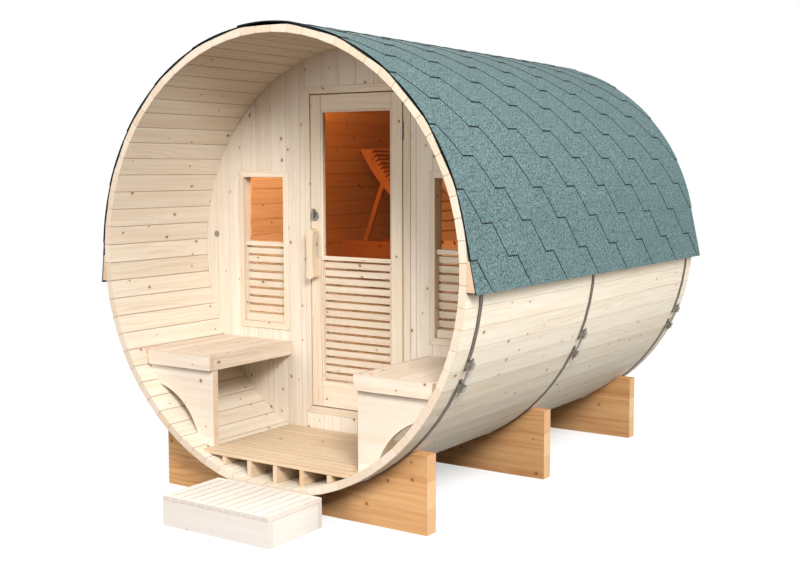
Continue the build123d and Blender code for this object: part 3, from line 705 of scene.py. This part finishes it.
def door_frame():
    """The frame's four mitred sides, with the strips that the leaf closes against."""
    front, back = low("door_head", 1), high("door_head", 1)
    bevel, strip, strip_deep = 0.006, 0.012, 0.020
    sides = mitred_ring((-FRAME_HALF, FRAME_HALF, FRAME_FOOT, FRAME_TOP), FRAME_HALF - DOORWAY_HALF,
                        (front + bevel, front), back, arris=0.001)
    top, foot = LEAF_HIGH + LEAF_GAP, LEAF_LOW - LEAF_GAP
    boards = Boards()
    sides["left"](boards)
    sides["right"](boards)
    for side in (-1, 1):
        boards.block((side * (DOORWAY_HALF - strip), back - strip_deep, foot),
                     (side * DOORWAY_HALF, back, top), grain=2)
    boards.finish("jamb_boards", DOOR_PINE, "pine", nodes=["door_jambs"])
    boards = Boards()
    sides["head"](boards)
    boards.block((strip - DOORWAY_HALF, back - strip_deep, top - strip),
                 (DOORWAY_HALF - strip, back, top), grain=0)
    boards.finish("head_boards", DOOR_PINE, "pine", nodes=["door_head"])
    boards = Boards()
    sides["foot"](boards)
    boards.finish("threshold_board", DOOR_PINE, "pine", nodes=["door_threshold"])


def slats(boards, x_low, x_high, top, count, pitch, y_front):
    """Louvre slats, one over the other, each turned by the tilt about its own middle."""
    for number in range(count):
        z_middle = top - SLAT_GAP / 2 - (number + 0.5) * pitch

        def place(a, b, c, z_middle=z_middle):
            up, out = b - (pitch - SLAT_GAP) / 2, c - SLAT_THICK / 2
            y = y_front + SLAT_THICK + out * np.cos(SLAT_TILT) - up * np.sin(SLAT_TILT)
            z = z_middle + up * np.cos(SLAT_TILT) + out * np.sin(SLAT_TILT)
            return x_low + a, y, z

        # Painted shade on each slat's thin sides, for the shadow in the gaps between slats
        boards.add(place, x_high - x_low, pitch - SLAT_GAP, SLAT_THICK, arris=0.0018, edges=1.6)


def door():
    """The leaf's stiles and rails, with a bevel round its pane, and its louvres."""
    front, back = low("door_leaf", 1), high("door_leaf", 1)
    light_left, light_right = low("door_louvres", 0), high("door_louvres", 0)
    light_top = LEAF_HIGH - TOP_RAIL
    light_foot = light_top - PANE_HEIGHT
    slats_top, slats_foot = light_foot - MIDDLE_RAIL, LEAF_LOW + BOTTOM_RAIL
    bevel, bevel_deep = 0.010, 0.006
    stile_left, stile_right = light_left - bevel, light_right + bevel
    boards = Boards()
    boards.block((-LEAF_HALF, front, LEAF_LOW), (stile_left, back, LEAF_HIGH), grain=2)
    boards.block((stile_right, front, LEAF_LOW), (LEAF_HALF, back, LEAF_HIGH), grain=2)
    for foot, head in ((light_top + bevel, LEAF_HIGH), (LEAF_LOW, slats_foot),
                       (slats_top, light_foot - bevel)):
        boards.block((stile_left, front + RAIL_SINK, foot), (stile_right, back, head), grain=0)
    bevels = mitred_ring((stile_left, stile_right, light_foot - bevel, light_top + bevel), bevel,
                         (front, front + bevel_deep), front + PANE_SINK, arris=0.0006)
    for draw in bevels.values():
        draw(boards)
    for x_low, x_high in ((stile_left, light_left), (light_right, stile_right)):
        boards.block((x_low, front + STRIP_SINK, slats_foot), (x_high, back, slats_top), grain=2)
    boards.finish("leaf_boards", DOOR_PINE, "pine", "door", nodes=["door_leaf"])
    boards = Boards()
    pitch = (slats_top - slats_foot - SLAT_GAP) / DOOR_SLATS
    slats(boards, light_left, light_right, slats_top, DOOR_SLATS, pitch, front + DOOR_SLAT_SINK)
    boards.finish("leaf_louvres", DOOR_PINE, "pine", "door", nodes=["door_louvres"])


def windows():
    """Casings with a border in front, and louvres below the panes."""
    half = CASING / 2
    sill_top = AXIS + SILL_RISE
    slats_top = sill_top - SILL_HEIGHT
    slats_foot = slats_top - WINDOW_SLATS * WINDOW_PITCH - SLAT_GAP
    front, back = low("window_frames", 1), high("window_frames", 1)
    near, far, foot, head = WINDOW_NEAR, WINDOW_FAR, WINDOW_FOOT, WINDOW_TOP
    frames, louvres = Boards(), Boards()
    for side in (-1, 1):
        def block(x_one, x_two, z_one, z_two, grain, sink=0.0, side=side):
            frames.block((side * x_one, WALL_FRONT + sink, z_one), (side * x_two, back, z_two),
                         grain=grain)

        x_low, x_high = sorted((side * (near - half), side * (far + half)))
        border = mitred_ring((x_low, x_high, foot - half, head + half), CASING,
                             (front + CASING_BEVEL, front), WALL_FRONT, arris=0.0008)
        for draw in border.values():
            draw(frames)
        block(near, near + half, foot, head, grain=2)
        block(far - half, far, foot, head, grain=2)
        block(near + half, far - half, head - half, head, grain=0)
        block(near + half, far - half, foot, foot + half, grain=0)
        block(near + half, far - half, slats_top, sill_top, grain=0, sink=SILL_SINK)
        block(near + half, far - half, foot + half, slats_foot, grain=0, sink=SILL_SINK)
        ends = sorted((side * (near + half), side * (far - half)))
        slats(louvres, *ends, slats_top, WINDOW_SLATS, WINDOW_PITCH, WALL_FRONT + WINDOW_SLAT_SINK)
    frames.finish("window_casings", DOOR_PINE, "pine", nodes=["window_frames"])
    louvres.finish("window_slats", DOOR_PINE, "pine", nodes=["window_louvres"])


# Porch benches

SEAT_PLANKS = 5
EDGE_THICK = 0.026
CLEAT_DEPTH = 0.030

# How far the panel lies behind the edge boards' face, its thickness, and the inner board's drop
PANEL_INSET = 0.006
PANEL_THICK = 0.034
INNER_DROP = 0.001


def from_middle(node):
    """A node's nearest and farthest distance from the middle of the porch."""
    return sorted((abs(low(node, 0)), abs(high(node, 0))))


def seat_planks(side, word, inner, outer):
    """Planks from the front to the wall, the last one's far edge on the barrel.

    Its width at any height is half the barrel's width there, less the distance to its near edge.
    """
    seat = word + "bench_seat"
    under, top = low(seat, 2), high(seat, 2)
    edges = np.linspace(inner, outer, SEAT_PLANKS + 1)
    boards = Boards()
    for near, far in zip(edges, edges[1:]):
        def place(a, b, c, near=near, far=far):
            z = under + c
            far_edge = half_width(AXIS - z) if far == outer else far
            return side * (near + (far_edge - near) * b / (far - near)), low(seat, 1) + a, z

        boards.add(place, high(seat, 1) - low(seat, 1), far - near, top - under, arris=0.002)
    boards.finish(word + "seat_planks", BENCH_PINE, "pine", nodes=[seat])


def edge_boards(side, word):
    """A board across the front, a thin one along the panel's face and a thick one behind that."""
    fascia = word + "bench_fascia"
    foot, head = low(fascia, 2), high(fascia, 2)
    near, far = from_middle(fascia)
    front, behind = low(fascia, 1), low(fascia, 1) + EDGE_THICK
    face = near + PANEL_INSET
    boards = Boards()
    boards.block((side * near, front, foot), (side * far, behind, head), grain=0)
    boards.block((side * near, behind, foot), (side * face, WALL_FRONT, head), grain=1)
    boards.block((side * face, behind + PANEL_THICK, foot),
                 (side * (near + EDGE_THICK), WALL_FRONT, head - INNER_DROP), grain=1)
    boards.finish(word + "edge_boards", BENCH_PINE, "pine", nodes=[fascia])


def cleat(boards, side, inner, outer):
    """A cleat at the wall under a seat, its far end cut to the barrel."""
    foot, head = low("bench_cleats", 2), high("bench_cleats", 2)

    def place(a, b, c):
        z = foot + b
        x = inner + (half_width(AXIS - z) - inner) * a / (outer - inner)
        return side * x, WALL_FRONT - c, z

    boards.add(place, outer - inner, head - foot, CLEAT_DEPTH)


def benches():
    """Both benches: seat planks, edge boards and a cleat. The panel keeps its own shape."""
    cleats = Boards()
    for side, word in ((-1, "left_"), (1, "right_")):
        inner = from_middle(word + "bench_seat")[0]
        outer = half_width(AXIS - high(word + "bench_seat", 2))
        seat_planks(side, word, inner, outer)
        edge_boards(side, word)
        cleat(cleats, side, inner, outer)
    cleats.finish("cleat_boards", BENCH_PINE, "pine", nodes=["bench_cleats"])


def paint(node, material):
    """A node that keeps its own shape gets its finish."""
    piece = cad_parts[node]
    for spot in piece.material_slots:
        spot.material = material


# Roof

class Roof:
    """One side of the roof's surface: round from the ridge, then straight off at the eave.

    A point is given by its run down from the ridge, its place along Y and its height over the staves.
    The radius is that of the staves' outer face, with the gap that the roof needs over it.
    """
    RADIUS = 1.0503

    def __init__(self, side, lift_angle, eave_drop):
        """The straight part starts where the ring's tangent leans out by the lift angle, in degrees."""
        self.side = side
        self.lift = np.radians(lift_angle)
        self.round = (np.pi / 2 - self.lift) * self.RADIUS
        rise = self.RADIUS * np.sin(self.lift) + eave_drop
        self.eave = self.round + rise / np.cos(self.lift)

    def place(self, run, y, height):
        """Points on the roof: an arc of the ring up to the lift-off, then along its tangent."""
        turn = np.pi / 2 - np.minimum(run, self.round) / self.RADIUS
        beyond = np.maximum(run - self.round, 0)
        radius = self.RADIUS + height
        x = radius * np.cos(turn) + beyond * np.sin(self.lift)
        z = radius * np.sin(turn) - beyond * np.cos(self.lift)
        return np.stack(np.broadcast_arrays(self.side * x, y, AXIS + z), axis=-1)


# Each side's lift angle in degrees, the eave's drop below the axis, and the last whole course
RIGHT_SIDE = (11.5, 0.080, 4)
LEFT_SIDE = (5.0, 0.142, 5)
FIRST_COURSE = -8
EXPOSURE = 0.1445
FIRST_ROW = 1.1596
ROW_STARTS = (0.135, 0.303)

# The tabs along a course's lower edge
TAB_PITCH = 0.333
TAB_FLAT = 0.082
TAB_SLANT = 0.0845
TAB_JOINT = 0.002
TAB_ROUNDING = 0.02
RIM_MARGIN = 0.002

# How far up a course reaches, in exposures
COURSE_REACH = 2.15
STARTER_REACH = 1.6
RIDGE_REACH = 1.0

# Heights over the staves
SHINGLE_THICK = 0.0023
SHINGLE_TOP = 0.0082
SHINGLE_UNDER = 0.0040
HEAD_THICK = 0.0006
FELT = (0.0005, 0.0028)
STARTER_SINK = 0.0021

# How far a cut edge leans out, and how much more it does on a tab's slant: the lean widens the
# bitumen edge into a painted shadow line under the course
EDGE_SHADOW_LEAN = 0.0042
SLANT_SHADOW_LEAN = 2.1

COURSE_ROWS = 9
FELT_STEPS = 60

# The caps over the ridge
CAP_COUNT = 18
CAP_HALF = 0.15
CAP_EXPOSURE = 0.139
CAP_LENGTH = 0.165
CAP_LINES = 9
CAP_HEIGHT = 0.0086
CAP_RISE = 0.0030
CAP_THICK = 0.0026


def tab_line(start, cut=0.0):
    """Places along Y and the rise of a course's lower edge there, from 0 at a tab to 1 between.

    The third list says how far the dark edge leans out there, as a share: more on a tab's slant.
    The lean widens the bitumen edge into a painted shadow line.
    A cut is the least rise, where the eave cuts the tabs off.
    """
    corners = np.array([0, TAB_FLAT, TAB_FLAT + TAB_SLANT, TAB_PITCH - TAB_SLANT, TAB_PITCH])
    slants = np.array([TAB_ROUNDING, 1 / 3, 2 / 3, 1 - TAB_ROUNDING])
    stops = np.concatenate([corners[:4], TAB_FLAT + slants * TAB_SLANT, TAB_PITCH - slants * TAB_SLANT])
    if cut > 0:
        stops = np.append(stops, [TAB_FLAT + cut * TAB_SLANT, TAB_PITCH - cut * TAB_SLANT])
    stops = np.unique(stops)
    last_tab = int((REAR - FRONT) / TAB_PITCH) + 1
    places = np.concatenate([FRONT + start + number * TAB_PITCH + stops
                             for number in range(-2, last_tab)])
    places = places[(places > FRONT + RIM_MARGIN) & (places < REAR - RIM_MARGIN)]
    y = np.concatenate([[FRONT], places, [REAR]])
    along = (y - FRONT - start) % TAB_PITCH
    rise = np.interp(along, corners, [0, 0, 1, 1, 0])
    slanted = (rise > TAB_ROUNDING / 2) & (rise < 1 - TAB_ROUNDING / 2)
    return y, np.maximum(rise, cut), np.where(slanted, SLANT_SHADOW_LEAN, 1.0)


def course(roof, bottom, start, straight=False, reach=COURSE_REACH):
    """One course: from its lower edge up to where the next one covers it, thinning upwards.

    The outer skin is a grid of rows up the roof and columns along it, from the tabs' edge to the
    top one. A dark edge leans out a little below it, the bitumen cut edge widened into a painted
    shadow line, and a dark back joins that to the top again.
    """
    drop = EXPOSURE - TAB_JOINT
    if straight:
        y = tab_line(start)[0]
        rise, lean = np.zeros_like(y), np.ones_like(y)
    else:
        y, rise, lean = tab_line(start, max((bottom - roof.eave) / drop, 0.0))
    share = np.linspace(0, 1, COURSE_ROWS)[:, None]
    lower = bottom - rise * drop
    upper = bottom - EXPOSURE * reach
    run = lower + (upper - lower) * share
    climb = (bottom - run) / (EXPOSURE * reach)
    height = SHINGLE_TOP + (SHINGLE_UNDER - SHINGLE_TOP) * climb - (STARTER_SINK if straight else 0)
    top = roof.place(run, np.repeat(y[None, :], COURSE_ROWS, axis=0), height)
    edge_run = np.minimum(lower + EDGE_SHADOW_LEAN * lean, roof.eave)
    foot = roof.place(edge_run, y, height[0] - SHINGLE_THICK)
    under = roof.place(run[-1], y, height[-1] - HEAD_THICK)
    points = np.concatenate([top.reshape(-1, 3), foot, under])
    columns = len(y)
    i, k = np.meshgrid(np.arange(COURSE_ROWS - 1), np.arange(columns - 1), indexing="ij")
    skin = np.stack([i * columns + k, i * columns + k + 1, (i + 1) * columns + k + 1,
                     (i + 1) * columns + k], axis=-1).reshape(-1, 4)
    k = np.arange(columns - 1)
    head_at, foot_at, under_at = [row * columns for row in range(COURSE_ROWS - 1, COURSE_ROWS + 2)]
    edge = np.stack([foot_at + k, foot_at + k + 1, k + 1, k], axis=1)
    back = np.stack([foot_at + k, under_at + k, under_at + k + 1, foot_at + k + 1], axis=1)
    head = np.stack([head_at + k, head_at + k + 1, under_at + k + 1, under_at + k], axis=1)
    rim = np.array([foot_at, *range(0, foot_at, columns), under_at])
    ends = np.stack([rim, rim + columns - 1])
    return points, [(skin, False), (edge, True), (back, True), (head, True), (ends, True)]


def felt(roof):
    """The dark layer under the shingles: two skins that follow the roof, joined all round."""
    run = np.append(np.linspace(0, roof.round, FELT_STEPS), roof.eave)
    ends = np.repeat(np.array([[FRONT, REAR]]), len(run), axis=0)
    points = np.concatenate([roof.place(run[:, None], ends, height).reshape(-1, 3)
                             for height in FELT])
    count = len(run)
    k = np.arange(count - 1)
    outer = 2 * count
    skins = [np.stack([2 * k, 2 * k + 1, 2 * k + 3, 2 * k + 2], axis=1),
             outer + np.stack([2 * k + 2, 2 * k + 3, 2 * k + 1, 2 * k], axis=1)]
    rims = [np.stack([2 * k + side, 2 * k + 2 + side, outer + 2 * k + 2 + side,
                      outer + 2 * k + side], axis=1) for side in (0, 1)]
    last = 2 * (count - 1)
    ends = np.array([[0, 1, outer + 1, outer], [last, last + 1, outer + last + 1, outer + last]])
    return points, [(np.concatenate([*skins, *rims, ends]), True)]


def cap(roof, number):
    """A short shingle bent over the ridge, which rises from its rear edge to its front one.

    Four lines of points run across the ridge: front and rear above, then front and rear below.
    """
    across = np.linspace(-CAP_HALF, CAP_HALF, CAP_LINES)
    start = FRONT + number * CAP_EXPOSURE
    end = min(start + CAP_LENGTH, REAR)
    front_height = CAP_HEIGHT + CAP_RISE
    rear_height = CAP_HEIGHT + CAP_RISE * (1 - (end - start) / CAP_LENGTH)
    points = np.concatenate([
        roof.place(across, np.full(CAP_LINES, y), np.full(CAP_LINES, height - drop))
        for drop in (0.0, CAP_THICK)
        for y, height in ((start, front_height), (end, rear_height))])
    k = np.arange(CAP_LINES - 1)
    front, rear, under_front, under_rear = [line * CAP_LINES for line in range(4)]
    top = np.stack([front + k, front + k + 1, rear + k + 1, rear + k], axis=1)
    under = np.stack([under_front + k, under_rear + k, under_rear + k + 1, under_front + k + 1], axis=1)
    front_edge = np.stack([front + k, under_front + k, under_front + k + 1, front + k + 1], axis=1)
    rear_edge = np.stack([rear + k, rear + k + 1, under_rear + k + 1, under_rear + k], axis=1)
    left = np.array([[front, rear, under_rear, under_front]])
    right = np.array([[front, under_front, under_rear, rear]]) + CAP_LINES - 1
    dark = np.concatenate([under, front_edge, rear_edge, left, right])
    return points, [(top, False), (dark, True)]


def roofing(name, parts):
    """Several parts of the roof as one piece, with bitumen on its dark faces and granules elsewhere.

    Each part is its points, and its faces in groups that are dark or not.
    """
    faces, dark, count = [], [], 0
    for points, groups in parts:
        for corners, is_dark in groups:
            faces += (corners + count).tolist()
            dark += [is_dark] * len(corners)
        count += len(points)
    piece = make_object(name, np.concatenate([part[0] for part in parts]), faces, GRANULES, "house")
    piece.data.materials.append(BITUMEN)
    piece.data.polygons.foreach_set("material_index", np.array(dark, dtype=np.int32))
    return piece


def shingles():
    """Courses on both sides, from the ridge to the eave, every second one moved half a tab."""
    sides = ((1, RIGHT_SIDE, "roof_right", "shingles_right"),
             (-1, LEFT_SIDE, "roof_left", "shingles_left"))
    for side, (lift_angle, eave_drop, last), node, name in sides:
        roof = Roof(side, lift_angle, eave_drop)
        parts = [felt(roof),
                 course(roof, roof.eave, ROW_STARTS[0], straight=True, reach=STARTER_REACH)]
        for number in range(FIRST_COURSE, last + 1):
            bottom = FIRST_ROW + number * EXPOSURE
            course_reach = RIDGE_REACH if number == FIRST_COURSE else COURSE_REACH
            parts.append(course(roof, bottom, ROW_STARTS[number % 2], reach=course_reach))
        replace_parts(roofing(name, parts), node)


def ridge_caps():
    """Short shingles bent over the ridge, each lapping the one in front of it."""
    roof = Roof(1, 0, 0)
    roofing("ridge_caps", [cap(roof, number) for number in range(CAP_COUNT)])


# Step and lounger

STEP_BOARD = 0.024
STEP_SLAT = 0.041
STEP_SLATS = 12
RAIL_THICK = 0.028


def step():
    """Slats let into the notched front and back boards of a box of four boards.

    The teeth between the notches belong to those boards, so they share their tone and pattern.
    """
    lo, hi = [np.array(corner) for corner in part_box("step_box")]
    top, under = high("step_slats", 2), low("step_slats", 2)
    pitch = (hi[0] - lo[0] - STEP_SLAT) / (STEP_SLATS - 1)
    boards = Boards()
    for y in (lo[1], hi[1] - STEP_BOARD):
        tone, shift = rng.random(), rng.random(2) * PATTERN_REACH
        boards.block((lo[0], y, 0), (hi[0], y + STEP_BOARD, under), grain=0, arris=0.0008,
                     tone=tone, shift=shift)
        for number in range(STEP_SLATS - 1):
            x = lo[0] + number * pitch + STEP_SLAT
            boards.block((x, y, under), (x + pitch - STEP_SLAT, y + STEP_BOARD, top), grain=0,
                         arris=0.0006, tone=tone, shift=shift)
    for x in (lo[0], hi[0] - STEP_BOARD):
        boards.block((x, lo[1] + STEP_BOARD, 0), (x + STEP_BOARD, hi[1] - STEP_BOARD, under), grain=1)
    boards.finish("step_sides", STEP_PINE, "step_wood", nodes=["step_box"])
    boards = Boards()
    for number in range(STEP_SLATS):
        x = lo[0] + number * pitch
        boards.block((x, lo[1], under), (x + STEP_SLAT, hi[1], top), grain=1, arris=0.0015)
    boards.finish("step_top", STEP_PINE, "step_wood", nodes=["step_slats"])


def lounger():
    """The rails across the room, their ends cut to the barrel; the rest keeps its own shape."""
    boards = Boards()
    foot, head = low("lounger_rails", 2), high("lounger_rails", 2)
    length = 2 * half_width(AXIS - head)
    for y in (low("lounger_rails", 1), high("lounger_rails", 1) - RAIL_THICK):
        def place(a, b, c, y=y):
            z = foot + b
            return (2 * a / length - 1) * half_width(AXIS - z), y + c, z

        boards.add(place, length, head - foot, RAIL_THICK)
    boards.finish("rail_boards", ROOM_PINE, "pine", nodes=["lounger_rails"])


# The stage

# The floor's own glow: its least share, and how far from the origin it starts to rise and is whole
GLOW_LEAST = 0.5
GLOW_STARTS = 1.6
GLOW_WHOLE = 4.2

# The sky's strength overhead, and the share of the way up where it reaches it
SKY_HIGH = 1.6
SKY_REACH = 0.9

# Half the ground's width
GROUND_HALF = 30


def seen(nodes):
    """1 for rays from the camera, or by way of metal and glass, and 0 for light that bounces on."""
    rays = nodes.tree.nodes.new("ShaderNodeLightPath").outputs
    mirrored = nodes.math("MAXIMUM", rays["Is Glossy Ray"], rays["Is Transmission Ray"])
    return nodes.math("MAXIMUM", rays["Is Camera Ray"], mirrored)


def floor_white():
    """White floor: it takes the object's shadow near by and glows white further out."""
    shader = Shader("white_floor")
    distance = shader.put("VectorMath", {0: shader.put("TexCoord", output=3)}, output=1,
                          operation="LENGTH")
    far = shader.put("MapRange", {"Value": distance, "From Min": GLOW_STARTS, "From Max": GLOW_WHOLE,
                                  "To Min": GLOW_LEAST}, interpolation_type="SMOOTHSTEP")
    glow = shader.put("Emission", {"Color": (1, 1, 1, 1), "Strength": 1.0})
    near = shader.put("BsdfDiffuse", {"Color": (0.98, 0.98, 0.98, 1)})
    shown = shader.put("MixShader", {0: far, 1: near, 2: glow})
    dull = shader.put("BsdfDiffuse", {"Color": (0.05, 0.032, 0.018, 1)})
    whole = shader.put("MixShader", {0: seen(shader), 1: dull, 2: shown})
    output = shader.tree.nodes["Material Output"]
    shader.tree.links.new(whole, output.inputs["Surface"])
    shader.tree.nodes.remove(shader.base)
    return shader.material


def surround():
    """White where it is seen, and a soft sky, brightest overhead, where it lights the object."""
    world = bpy.data.worlds.new("surround")
    bpy.context.scene.world = world
    world.use_nodes = True
    sky = Nodes(world.node_tree)
    back = sky.tree.nodes["Background"]
    back.inputs["Color"].default_value = (1, 1, 1, 1)
    up = sky.parts(sky.put("TexCoord", output=0))[2]
    light = sky.put("MapRange", {"Value": up, "From Max": SKY_REACH, "To Max": SKY_HIGH})
    shown = sky.put("Mix", {0: seen(sky), 2: light, 3: 1.0}, output=0, data_type="FLOAT")
    sky.tree.links.new(shown, back.inputs["Strength"])


def stage():
    """Floor, surround, soft lamps outside and a warm lamp in the room."""
    half = GROUND_HALF
    mesh = bpy.data.meshes.new("ground")
    mesh.from_pydata([(-half, -half, 0), (half, -half, 0), (half, half, 0), (-half, half, 0)], [],
                     [(0, 1, 2, 3)])
    ground = bpy.data.objects.new("ground", mesh)
    bpy.context.scene.collection.objects.link(ground)
    mesh.materials.append(floor_white())
    surround()
    lamp("key", (5.75, -6.0, 5.3), (0, -0.5, 1.0), 2.3, 960, (1.0, 0.985, 0.98))
    lamp("fill", (-1.6, -9.0, 2.9), (0.1, -0.8, 1.2), 3.4, 285, (1.0, 0.99, 0.995))
    lamp("side", (7.5, 1.0, 2.6), (0.8, 0.3, 1.0), 4.5, 385, (0.93, 0.98, 1.0))
    lamp("back", (-6.0, 6.5, 4.5), (0, 0.5, 1.2), 4.0, 320, (0.99, 0.99, 1.0))
    lamp("room", (-0.30, -0.30, 1.90), (-0.70, 0.25, 1.1), 0.3, 14, (1.0, 0.61, 0.34))


def lamp(name, at, towards, size, power, colour):
    """A square soft lamp that points at a place."""
    data = bpy.data.lights.new(name, "AREA")
    data.size, data.energy, data.color = size, power, colour
    piece = bpy.data.objects.new(name, data)
    bpy.context.scene.collection.objects.link(piece)
    piece.location = at
    piece.rotation_euler = (Vector(towards) - Vector(at)).to_track_quat("-Z", "Y").to_euler()


def camera():
    """The photograph's camera: its place, turn, focal length and principal point."""
    data = bpy.data.cameras.new("camera")
    data.sensor_width = 36
    data.lens = FOCAL_PIXELS / IMAGE_SIZE[0] * data.sensor_width
    data.shift_x = (IMAGE_SIZE[0] / 2 - PRINCIPAL_PIXEL[0]) / IMAGE_SIZE[0]
    data.shift_y = (PRINCIPAL_PIXEL[1] - IMAGE_SIZE[1] / 2) / IMAGE_SIZE[0]
    data.clip_start, data.clip_end = 0.1, 100
    piece = bpy.data.objects.new("camera", data)
    bpy.context.scene.collection.objects.link(piece)
    turn = (Matrix.Rotation(np.radians(CAMERA_YAW), 4, "Z")
            @ Matrix.Rotation(np.radians(90 + CAMERA_PITCH), 4, "X")
            @ Matrix.Rotation(np.radians(CAMERA_ROLL), 4, "Z"))
    piece.matrix_world = Matrix.Translation(CAMERA_AT) @ turn
    bpy.context.scene.camera = piece


def painted_nodes():
    """Every node that keeps its own shape, with its finish."""
    finishes = {
        CRADLE_PINE: ["front_cradle", "middle_cradle", "rear_cradle"],
        BAND_STEEL: ["front_hoop", "middle_hoop", "rear_hoop"],
        BRUSHED_STEEL: ["hoop_tensioners", "door_lock", "door_hinge_wings", "door_hinge_pins"],
        BRONZE_GLASS: ["door_glass"],
        WARM_GLASS: ["window_glass"],
        VENT: ["wall_vent"],
        LONG_PINE: ["eave_battens"],
        SLAT_PINE: ["lounger_slats"],
        UPRIGHT_ROOM: ["lounger_back_planks", "lounger_props"],
        PANEL_PINE: ["left_bench_panel", "right_bench_panel"],
        HANDLE_PINE: ["door_handle"],
    }
    for material, nodes in finishes.items():
        for node in nodes:
            paint(node, material)


camera()
stage()
staves()
front_walls()
rear_wall()
floor("porch_floor", "porch_planks", planks=13, material=FLOOR_PINE)
floor("room_floor", "room_planks", planks=35, material=ROOM_PINE)
joists()
door_frame()
door()
windows()
benches()
shingles()
ridge_caps()
step()
lounger()
painted_nodes()
bpy.context.scene.view_settings.view_transform = "Standard"
